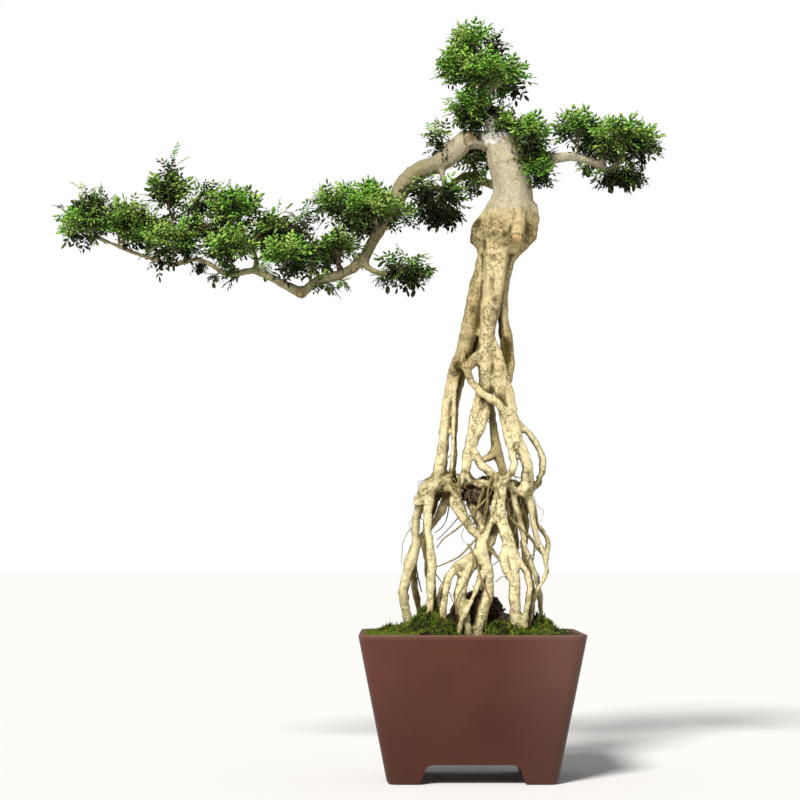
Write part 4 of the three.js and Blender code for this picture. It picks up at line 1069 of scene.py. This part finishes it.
def broad_leaves(paths, count, drop, size, shade, random):
    """Single broad leaves that hang on long stalks from the outer part of each shoot."""
    starts = paths[:, 3:].reshape(-1, 3)
    from_here = starts[random.integers(0, len(starts), count)]
    fall = random.uniform(*drop, (count, 1)) * MM * [0, 0, -1.0] + random.normal(0, 3 * MM, (count, 3))
    lines = from_here[:, None] + fall[:, None] * np.linspace(0, 1, 4)[:, None]
    way = unit(np.array([0, 0, -1.0]) + random.normal(0, 0.5, (count, 3)))
    face = unit(np.array([0, -1.0, 0.2]) + random.normal(0, 0.5, (count, 3)))
    lengths = random.uniform(*size, count) * MM
    tone = random.uniform(*shade, count)
    stems = stalks(lines, np.full((count, 4), 0.45 * MM), 4, tone)
    return joined([stems, leaflets(from_here + fall, way, face, lengths, tone, BROAD)])


HANGING = ("spray_right_hanging", "spray_under_arm", "spray_under_arm_back", "spray_fall_low")
# Sprays that don't fill their packed reach evenly: the share of it that they fill across and up, and how far
# their heart moves to the right and up in millimetres
UNEVEN = {
    "spray_right_hanging": (1.15, 0.5, -3, 11),
    "spray_under_arm": (1.0, 0.66, 2, 14),
    "spray_stem_right": (0.66, 0.8, 0, 5),
    "spray_shoulder": (0.9, 0.95, -3, -2),
    "spray_crown_top": (0.82, 0.86, 3, -5),
    "spray_crown_left": (0.85, 0.9, 4, 0),
    "spray_crown_low": (0.92, 0.98, 12, -5),
    "spray_crown_right": (0.94, 1.04, -7, -8),
    "spray_right_outer": (1.0, 0.9, 0, -3),
    "spray_fall_low": (0.96, 0.84, 0, 11),
    "spray_fall_high": (1.0, 0.84, -2, -8),
    "spray_end_tip": (1.0, 0.9, 0, 4),
    "spray_tall_shoot": (0.9, 1.0, 0, 3),
}


def make_spray(name, settings, seed):
    """A spray: shoots that bow up from its heart, each with pinnate leaves in crossed pairs.

    A shoot runs from the twig to a point of the reach's ellipsoid, as a straight line plus an upward bow
    t (1 - t). Two thirds of them make the body, and the others are longer and stand clear of it. Broad
    single leaves hang on long stalks below.
    """
    random = np.random.default_rng(seed)
    heart, reach, foot = spray_frame(name)
    across, up, east, lift = UNEVEN.get(name, (1.0, 1.0, 0, 0))
    reach = reach * np.array([across, 1.0, up])
    heart = heart + np.array([east, 0.0, lift]) * MM
    low = name in HANGING
    count = settings.shoots - int(low)
    step = (np.arange(count) + 0.5) / count
    rise = (0.97 - 1.6 * step) * (-0.9 if low else 1.0)
    turn = GOLDEN_ANGLE * np.arange(count) + random.uniform(0, 6.28)
    far = random.uniform(0.3, 0.72, count)
    limit = np.full(count, BODY_LIMIT)
    clear = random.choice(count, count // 3, replace=False)
    far[clear] = random.uniform(0.86, 1.08, len(clear))
    limit[clear] = CLEAR_LIMIT
    rise[clear] = np.where(low, -1, 1) * np.abs(rise[clear])
    flat = np.sqrt(1 - rise**2)
    way = np.stack([flat * np.cos(turn), flat * np.sin(turn), rise], 1)
    tips = heart + way * reach * far[:, None]
    t = np.linspace(0, 1, 7)
    starts = foot + (heart - foot) * random.uniform(0.4, 0.95, (count, 1))
    bow = np.zeros((count, 1, 3))
    bow[:, 0, 2] = random.uniform(-0.05, 0.3, count) * reach[2]
    paths = lines_between(starts, tips, t) + bow * (t * (1 - t) * 2)[:, None]
    paths += np.cumsum(random.normal(0, 1.3 * MM, paths.shape), axis=1)
    thick = random.uniform(0.8, 1.25, (count, 1)) * MM
    twigs = stalks(paths, thick * (1.15 - 0.75 * t), 4, np.zeros(count))
    u = np.linspace(-0.05, 1, 8)[:, None]
    stem_path = foot + (heart - foot) * u - np.array([0, 0, 0.004]) * u * (1 - u) * 4
    stem_path += np.cumsum(random.normal(0, 0.9 * MM, (8, 3)), axis=0)
    stem = stalks(stem_path[None], np.linspace(2.6, 1.3, 8)[None] * MM, 7, np.zeros(1))
    fine = leaves_along(paths, heart, reach, limit, settings.leaf, low, random)
    if low:
        broad = broad_leaves(paths, 20, (2, 12), (11, 18), (-0.1, 0.26), random)
    else:
        lowest = paths[np.argsort(tips[:, 2])[:9]]
        broad = broad_leaves(lowest, 4, (5, 15), (10, 16), (0.0, 0.5), random)
    points, faces, values = joined([fine, broad])
    # Painted light: the crown's leaves, highest on the tree, are lighter
    values[:, 0] += 0.12 * ("crown" in name)
    return (points, faces, values), joined([twigs, stem])


# Shoots that grow straight from the wood between the sprays, in millimetres from the foot of the trunk: the
# middle of their tips, how far the tips spread, how many shoots, and how many broad leaves hang there
LOOSE_SHOOTS = (
    ((-441, 884), 20, 8, 1),
    ((-430, 935), 16, 8, 0),
    ((-395, 912), 13, 4, 0),
    ((-276, 888), 15, 7, 1),
    ((-330, 880), 14, 5, 0),
    ((-560, 905), 16, 6, 0),
    ((-612, 935), 14, 6, 0),
    ((-645, 915), 12, 4, 0),
    ((-492, 985), 10, 3, 0),
    ((-290, 822), 10, 3, 2),
    ((-412, 806), 4, 1, 2),
    ((-384, 812), 6, 2, 4),
    ((-345, 808), 7, 2, 3),
    ((-240, 797), 7, 2, 3),
    ((-212, 792), 4, 1, 2),
    ((-556, 858), 4, 1, 2),
    ((-508, 838), 5, 1, 3),
    ((-444, 830), 7, 2, 3),
    ((-116, 908), 12, 4, 4),
    ((-146, 792), 6, 2, 2),
    ((6, 970), 12, 3, 2),
    ((58, 1052), 12, 7, 6),
    ((34, 1082), 12, 6, 3),
    ((10, 1066), 10, 5, 1),
    ((-52, 1034), 9, 4, 2),
    ((100, 1000), 10, 4, 0),
    ((184, 975), 8, 1, 5),
    ((276, 980), 8, 2, 4),
    ((34, 1196), 9, 3, 0),
)


def make_loose_shoots(settings):
    """Shoots between the sprays, each from the nearest wood, bowed, with pinnate and broad leaves."""
    random = np.random.default_rng(404)
    wood = (node_points(TREE) - TREE_FOOT) / MM
    wood = wood[wood[:, 2] > LOWEST_BRANCH]
    t = np.linspace(0, 1, 7)
    leaves, twigs = [], []
    for (x, z), spread, count, broad in LOOSE_SHOOTS:
        gap = np.hypot(wood[:, 0] - x, wood[:, 2] - z) + 0.3 * np.abs(wood[:, 1] + 20)
        near = wood[np.argsort(gap)[random.integers(0, 4, count)]]
        tips = np.stack([np.full(count, x), near[:, 1] - 6, np.full(count, z)], 1)
        tips += random.normal(0, 1, (count, 3)) * spread * np.array([1.0, 0.8, 0.7])
        bow = random.normal(0, 0.12, (count, 1, 3)) * np.linalg.norm(tips - near, axis=1)[:, None, None]
        paths = lines_between(near, tips, t) + bow * (t * (1 - t) * 4)[:, None]
        paths = TREE_FOOT + (paths + np.cumsum(random.normal(0, 0.9, paths.shape), axis=1) * t[:, None]) * MM
        twigs.append(stalks(paths, (1.2 - 0.7 * t) * np.full((count, 1), MM), 4, np.zeros(count)))
        heart = TREE_FOOT + np.array([x, near[:, 1].mean(), z]) * MM
        low = z < near[:, 2].mean()
        reach = np.full(3, (spread + (12 if low else 24)) * MM)
        limit = np.full(count, 1.5)
        leaf = settings.leaf * (0.55 if low else 0.85)
        leaves.append(leaves_along(paths, heart, reach, limit, leaf, low, random))
        if broad:
            leaves.append(broad_leaves(paths, broad, (1, 8), (9, 16), (0.0, 0.4), random))
    return joined(leaves), joined(twigs)


# Ground


def fronds(base, lean, tall, width, bright):
    """Moss fronds: thin closed spikes of four faces, with painted shade at the foot and a bright tip."""
    side = unit(np.cross(lean, [0.31, 0.72, 0.62]))
    other = np.cross(lean, side)
    turn = np.arange(3)[:, None] * 2 * math.pi / 3
    ring = side[:, None] * np.cos(turn) + other[:, None] * np.sin(turn)
    feet = base[:, None] + ring * width[:, None, None] - (lean * tall[:, None])[:, None] * 0.15
    tips = base + lean * tall[:, None]
    points = np.concatenate([feet, tips[:, None]], axis=1)
    tone = bright[:, None] + np.array([-0.45, -0.45, -0.45, 0.35])
    return *copies(points, [[0, 1, 3], [1, 2, 3], [2, 0, 3], [2, 1, 0]]), np.clip(tone, 0, 1).ravel()


def sprigs(base, brightness, random):
    """Larger sprigs of moss: from each point a fan of five long fronds that lean apart."""
    count = len(base)
    together = random.normal(0, 0.5, (count, 1, 3))
    lean = unit(np.array([0, 0, 1.1]) + together + random.normal(0, 0.45, (count, 5, 3)))
    tall = random.uniform(5, 12, (count, 1)) * random.uniform(0.6, 1.0, (count, 5)) * MM
    width = random.uniform(0.9, 1.8, (count, 5)) * MM
    bright = brightness + 0.45 * relief(base / MM, 13, 28)[:, None] + random.normal(0, 0.2, (count, 5))
    foot = np.repeat(base[:, None], 5, axis=1)
    return fronds(foot.reshape(-1, 3), lean.reshape(-1, 3), tall.ravel(), width.ravel(), bright.ravel())


def bare_soil():
    """The level top of the soil, as points and triangles."""
    points, faces = merged_node("soil")
    return points, faces[points[faces, 2].min(1) > SOIL_TOP - 0.1 * MM]


def make_moss(name, settings, seed):
    """A moss mat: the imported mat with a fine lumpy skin, and small fronds that stand on it in tufts.

    The skin rises by reliefs of 17, 9 and 5.2 mm.
    """
    random = np.random.default_rng(seed)
    skin = remeshed(name + "_skin", *merged_node(name), 3.0 * MM, 2)
    points, normals = mesh_arrays(skin)
    quilt = relief(points / MM, 9, 21)
    lumps = 4.6 * relief(points / MM, 17, 25) + 3.0 * quilt + 4.0 * relief(points / MM, 5.2, 22) - 1.2
    points += normals * (lumps * blend(-0.3, 0.5, normals[:, 2]) * MM)[:, None]
    corners = triangles(skin)
    # The mat under the fronds is painted dark as shade, darkest in its hollows
    mat = (points, corners, np.clip(0.08 + 0.22 * quilt, 0, 1))
    bpy.data.meshes.remove(skin)
    top = corners[normals[corners[:, 0], 2] > 0.05]
    base, facing = scatter(points, top, settings.fronds, random)
    lean = unit(facing + [0, 0, 0.6] + random.normal(0, 0.55, base.shape))
    tuft = blend(-0.1, 0.5, relief(base / MM, 11, 24))
    tall = random.uniform(1.6, 4.8, settings.fronds) * (1 + 1.3 * tuft) * MM
    width = random.uniform(0.55, 1.15, settings.fronds) * MM
    bright = 0.42 + 0.75 * relief(base / MM, 4.6, 23) + 0.35 * relief(base / MM, 12, 24) + 0.15 * tuft
    bright += random.normal(0, 0.2, settings.fronds)
    parts = [mat, fronds(base, lean, tall, width, bright), sprigs(base[:800], 0.6, random)]
    return toned_mesh(name + "_fronds", *joined(parts))


def bank_height(place):
    """How far the ground is banked up above the level soil towards both ends of the pot, in millimetres."""
    ends = 8.5 * blend(-70, -112, place[:, 0]) + 12.0 * blend(84, 112, place[:, 0])
    return ends + 1.2 * relief(place, 13, 91) + 0.8 * relief(place, 5, 92)


def bank(west, east):
    """A low bank of earth between two distances across, as a closed height field with a flat underside."""
    low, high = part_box("soil")
    x, y = (
        np.linspace(start + MM, end - MM, int((end - start) / (3.5 * MM)) + 1)
        for start, end in ((west, east), (low.y, high.y))
    )
    grid = np.stack(np.meshgrid(x, y, indexing="ij"), -1).reshape(-1, 2)
    floor = np.column_stack([grid, np.full(len(grid), SOIL_TOP - 3 * MM)])
    top = raised(floor, 2 + bank_height((floor - TREE_FOOT) / MM))
    cell = np.arange(len(grid)).reshape(len(x), len(y))
    a, b, c, d = (corner.ravel() for corner in (cell[:-1, :-1], cell[1:, :-1], cell[1:, 1:], cell[:-1, 1:]))
    upper = np.concatenate([np.stack([a, b, c], 1), np.stack([a, c, d], 1)])
    edge = np.concatenate([cell[:, 0], cell[-1, 1:], cell[-2::-1, -1], cell[0, -2:0:-1]])
    after = np.roll(edge, -1)
    under = len(grid)
    walls = [np.stack([edge + under, after + under, after], 1), np.stack([edge + under, after, edge], 1)]
    return np.concatenate([top, floor]), np.concatenate([upper, upper[:, ::-1] + under, *walls])


def make_thin_moss(settings):
    """Thin low moss on the bare soil, thick towards the left rim and in patches elsewhere."""
    random = np.random.default_rng(77)
    base = scatter(*bare_soil(), 2 * settings.fronds, random)[0]
    place = (base - TREE_FOOT) / MM
    west = blend(0, -84, place[:, 0])
    patch = blend(-0.25, 0.35, relief(place, 22, 81)) * (1 - 0.6 * blend(95, 115, place[:, 0]))
    kept = random.uniform(0, 1, len(base)) < np.maximum(west, 0.75 * patch)
    base, west, place = base[kept], west[kept], place[kept]
    base = raised(base, bank_height(place) - 1)
    to_wall = -blend(-132, -160, place[:, 0])
    outwards = np.stack([to_wall, 0.5 * np.sign(place[:, 1]) * west, np.ones(len(base))], 1)
    lean = unit(outwards + random.normal(0, 0.4, base.shape))
    tall = (random.uniform(1.5, 5.0, len(base)) + west * random.uniform(1.5, 7.0, len(base))) * MM
    width = random.uniform(0.5, 1.3, len(base)) * MM
    bright = 0.5 + 0.7 * relief(base / MM, 5, 83) + 0.35 * west + random.normal(0, 0.2, len(base))
    west_end = bank(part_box("soil")[0].x, TREE_FOOT[0] - 0.064)
    # The cushion under the fronds is painted dark as shade
    cushion = (*west_end, np.full(len(west_end[0]), 0.3))
    return toned_mesh("thin_moss", *joined([cushion, fronds(base, lean, tall, width, bright)]))


def make_earth(name, step, lumps, seed):
    """Peat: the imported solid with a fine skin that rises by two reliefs."""
    mesh = remeshed(name + "_skin", *merged_node(name), step, 1)
    points, normals = mesh_arrays(mesh)
    rise = lumps * (relief(points / MM, 11, seed) + 0.6 * relief(points / MM, 4.2, seed + 1))
    move_points(mesh, points + normals * (rise * MM)[:, None])
    return mesh


def make_crumbs(settings):
    """Loose crumbs on the bare soil, on the peat mound and on the clod."""
    random = np.random.default_rng(33)
    spots, facing = scatter(*bare_soil(), int(settings.crumbs * 0.35), random)
    spots = raised(spots, np.maximum(bank_height((spots - TREE_FOOT) / MM) - 1, 0))
    places = [spots + facing * 0.6 * MM]
    for name, share in (("peat_mound", 0.48), ("peat_clod", 0.17)):
        spots, facing = scatter(*merged_node(name), int(settings.crumbs * share), random)
        places.append(spots + facing * 0.6 * MM)
    places = np.concatenate(places)
    sizes = random.uniform(0.8, 2.2, len(places)) * random.choice([0.8, 1.0, 2.0], len(places)) * MM
    return make_mesh("crumbs", *grains(places, sizes, random), smooth=False)


def make_scraps():
    """Scraps of dead root that stick out of the peat: short bent tubes, half sunk in it."""
    random = np.random.default_rng(35)
    routes = []
    for name, count in (("peat_mound", 70), ("peat_clod", 40)):
        spots, facing = scatter(*merged_node(name), count, random)
        along = unit(np.cross(facing, random.normal(0, 1, facing.shape)) + 0.45 * facing)
        long = random.uniform(6, 17, (count, 1, 1)) * MM
        t = np.linspace(-0.4, 0.6, 6)[:, None]
        bend = random.normal(0, 0.35, (count, 1, 3)) * t**2
        routes.append(spots[:, None] + long * (along[:, None] * t + bend) + facing[:, None] * 2.5 * MM)
    routes = np.concatenate(routes)
    radii = random.uniform(0.4, 1.0, (len(routes), 1)) * np.linspace(1.0, 0.6, 6) * MM
    return make_mesh("root_scraps", *tubes(routes, radii, 5))


# Operators


class BONSAI_OT_pot(bpy.types.Operator):
    """Make the pot with worn edges and the plastic mesh over its drain holes"""

    bl_idname = "bonsai.pot"
    bl_label = "Pot"

    def execute(self, context):
        settings = context.scene.bonsai_pot
        mesh = make_mesh("clay_pot", *merged_node("pot"))
        mesh.set_sharp_from_angle(angle=POT_CREASE)
        piece = add_piece("clay_pot", mesh, clay_finish(np.array(settings.clay)), ("pot",))
        worn = piece.modifiers.new("worn edges", "BEVEL")
        worn.width = settings.edge
        worn.segments = 3
        worn.limit_method = "ANGLE"
        worn.angle_limit = POT_CREASE
        worn.harden_normals = True
        plastic = mesh_finish()
        for node in ("drain_screen_left", "drain_screen_right"):
            cover(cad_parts[node].data, plastic)
        return {"FINISHED"}


class BONSAI_OT_ground(bpy.types.Operator):
    """Make the soil, grit, peat, moss and loose crumbs"""

    bl_idname = "bonsai.ground"
    bl_label = "Soil and moss"

    def execute(self, context):
        settings = context.scene.bonsai_ground
        soil = earth_finish("Soil", (0.012, 0.008, 0.005), (0.06, 0.042, 0.025))
        peat = earth_finish("Peat", (0.02, 0.012, 0.006), (0.17, 0.11, 0.058))
        grit = earth_finish("Grit", (0.16, 0.12, 0.08), (0.34, 0.27, 0.19))
        cover(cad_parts["soil"].data, soil)
        cover(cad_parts["drainage_grit"].data, grit)
        for node, step, lumps, seed in (("peat_mound", 0.0026, 5.6, 41), ("peat_clod", 0.0024, 3.6, 43)):
            add_piece(node + "_skin", make_earth(node, step, lumps, seed), peat, (node,))
        east_end = bank(TREE_FOOT[0] + 0.09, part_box("soil")[1].x)
        add_piece("soil_bank", make_mesh("soil_bank", *east_end), soil)
        loose = earth_finish("Crumbs", (0.022, 0.014, 0.008), (0.17, 0.115, 0.065))
        add_piece("crumbs", make_crumbs(settings), loose)
        add_piece("root_scraps", make_scraps(), twig_finish())
        moss = moss_finish(np.array(settings.moss_colour))
        for seed, node in enumerate(("moss_left", "moss_right")):
            add_piece(node + "_fronds", make_moss(node, settings, 50 + seed), moss, (node,))
        add_piece("thin_moss", make_thin_moss(settings), moss)
        return {"FINISHED"}


class BONSAI_OT_wood(bpy.types.Operator):
    """Make the trunk, raised roots, branches and hair roots"""

    bl_idname = "bonsai.wood"
    bl_label = "Wood"

    def execute(self, context):
        settings = context.scene.bonsai_wood
        bark = bark_finish(settings.stem_colour, settings.root_colour)
        add_piece("bark", make_wood(settings), bark, (TREE,))
        add_piece("hair_roots", make_hair_roots(settings), bark)
        return {"FINISHED"}


class BONSAI_OT_leaves(bpy.types.Operator):
    """Grow shoots and pinnate leaves in the place of every packed spray"""

    bl_idname = "bonsai.leaves"
    bl_label = "Leaves"

    def execute(self, context):
        settings = context.scene.bonsai_leaves
        green = leaf_finish(np.array(settings.dark), np.array(settings.bright))
        brown = twig_finish()
        grown = [(name, (name,), make_spray(name, settings, 100 + seed)) for seed, name in enumerate(SPRAYS)]
        grown.append(("loose_shoots", (), make_loose_shoots(settings)))
        for name, replaced, (leaves, twigs) in grown:
            points, faces, values = joined([leaves, twigs])
            mesh = make_mesh(name + "_leaves", points, faces)
            set_values(mesh, tone=values[:, 0], midrib=values[:, 1])
            add_piece(name + "_leaves", mesh, green, replaced)
            mesh.materials.append(brown)
            kinds = np.zeros(len(faces), np.int32)
            kinds[len(leaves[1]) :] = 1
            mesh.polygons.foreach_set("material_index", kinds)
        return {"FINISHED"}


class BONSAI_OT_stage(bpy.types.Operator):
    """Set the floor, the lights and the camera"""

    bl_idname = "bonsai.stage"
    bl_label = "Stage"

    def execute(self, context):
        settings = context.scene.bonsai_stage
        scene = context.scene
        corners = FLOOR_REACH * np.array([[-1, -1, 0], [1, -1, 0], [1, 1, 0], [-1, 1, 0]])
        floor = bpy.data.objects.new("floor", make_mesh("floor", corners, np.array([[0, 1, 2, 3]])))
        scene.collection.objects.link(floor)
        paint = Finish("Floor")
        tone = paint.use("Mottle", "Tone", Patch=2.0, Grain=0.01)
        feed(paint.inputs["Base Color"], paint.mix(tone, settings.floor, np.multiply(0.98, settings.floor)))
        feed(paint.inputs["Roughness"], 0.9)
        cover(floor.data, paint.material)

        world = bpy.data.worlds.new("studio")
        world.use_nodes = True
        tree = world.node_tree
        soft = tree.nodes["Background"]
        feed(soft.inputs["Strength"], settings.sky)
        feed(soft.inputs["Color"], (1.0, 1.0, 1.0))
        white = add_node(tree, "Background", 0, {"Color": (1.0, 1.0, 1.0)})
        seen = add_node(tree, "LightPath", "Is Camera Ray", {})
        both = add_node(tree, "MixShader", 0, {0: seen, 1: Signal(tree, soft.outputs[0]), 2: white})
        feed(tree.nodes["World Output"].inputs["Surface"], both)
        scene.world = world
        lamp = bpy.data.lights.new("broad light", "SUN")
        lamp.energy = settings.sun
        lamp.angle = math.radians(14)
        lamp.color = (1.0, 0.975, 0.94)
        holder = bpy.data.objects.new("broad light", lamp)
        holder.rotation_euler = Vector((0.45, 1.0, -0.95)).to_track_quat("-Z", "Y").to_euler()
        scene.collection.objects.link(holder)

        camera = bpy.data.objects.new("camera", bpy.data.cameras.new("camera"))
        camera.data.sensor_width = 36.0
        camera.data.lens = 84.375
        camera.location = TREE_FOOT + [-0.119, -3.035, 0.360]
        camera.rotation_euler = (math.radians(90 + 4.635), 0.0, 0.0)
        scene.collection.objects.link(camera)
        scene.camera = camera
        scene.view_settings.view_transform = "Standard"
        return {"FINISHED"}


class BONSAI_PT_panel(bpy.types.Panel):
    bl_idname = "BONSAI_PT_panel"
    bl_label = "Ash bonsai"
    bl_space_type = "VIEW_3D"
    bl_region_type = "UI"
    bl_category = "Bonsai"

    def draw(self, context):
        for operator, group in STEPS:
            box = self.layout.box()
            settings = getattr(context.scene, group)
            for name in settings.__annotations__:
                box.prop(settings, name)
            box.operator(operator.bl_idname)


STEPS = (
    (BONSAI_OT_stage, "bonsai_stage"),
    (BONSAI_OT_pot, "bonsai_pot"),
    (BONSAI_OT_ground, "bonsai_ground"),
    (BONSAI_OT_wood, "bonsai_wood"),
    (BONSAI_OT_leaves, "bonsai_leaves"),
)
GROUPS = {
    "bonsai_pot": BonsaiPot,
    "bonsai_ground": BonsaiGround,
    "bonsai_wood": BonsaiWood,
    "bonsai_leaves": BonsaiLeaves,
    "bonsai_stage": BonsaiStage,
}


def register():
    for name, group in GROUPS.items():
        bpy.utils.register_class(group)
        setattr(bpy.types.Scene, name, PointerProperty(type=group))
    for operator, group in STEPS:
        bpy.utils.register_class(operator)
    bpy.utils.register_class(BONSAI_PT_panel)


def unregister():
    bpy.utils.unregister_class(BONSAI_PT_panel)
    for operator, group in STEPS:
        bpy.utils.unregister_class(operator)
    for name, group in GROUPS.items():
        delattr(bpy.types.Scene, name)
        bpy.utils.unregister_class(group)


def main():
    register()
    for operator, group in STEPS:
        step = operator.bl_idname.split(".")[1]
        getattr(bpy.ops.bonsai, step)()


if __name__ == "__main__":
    main()
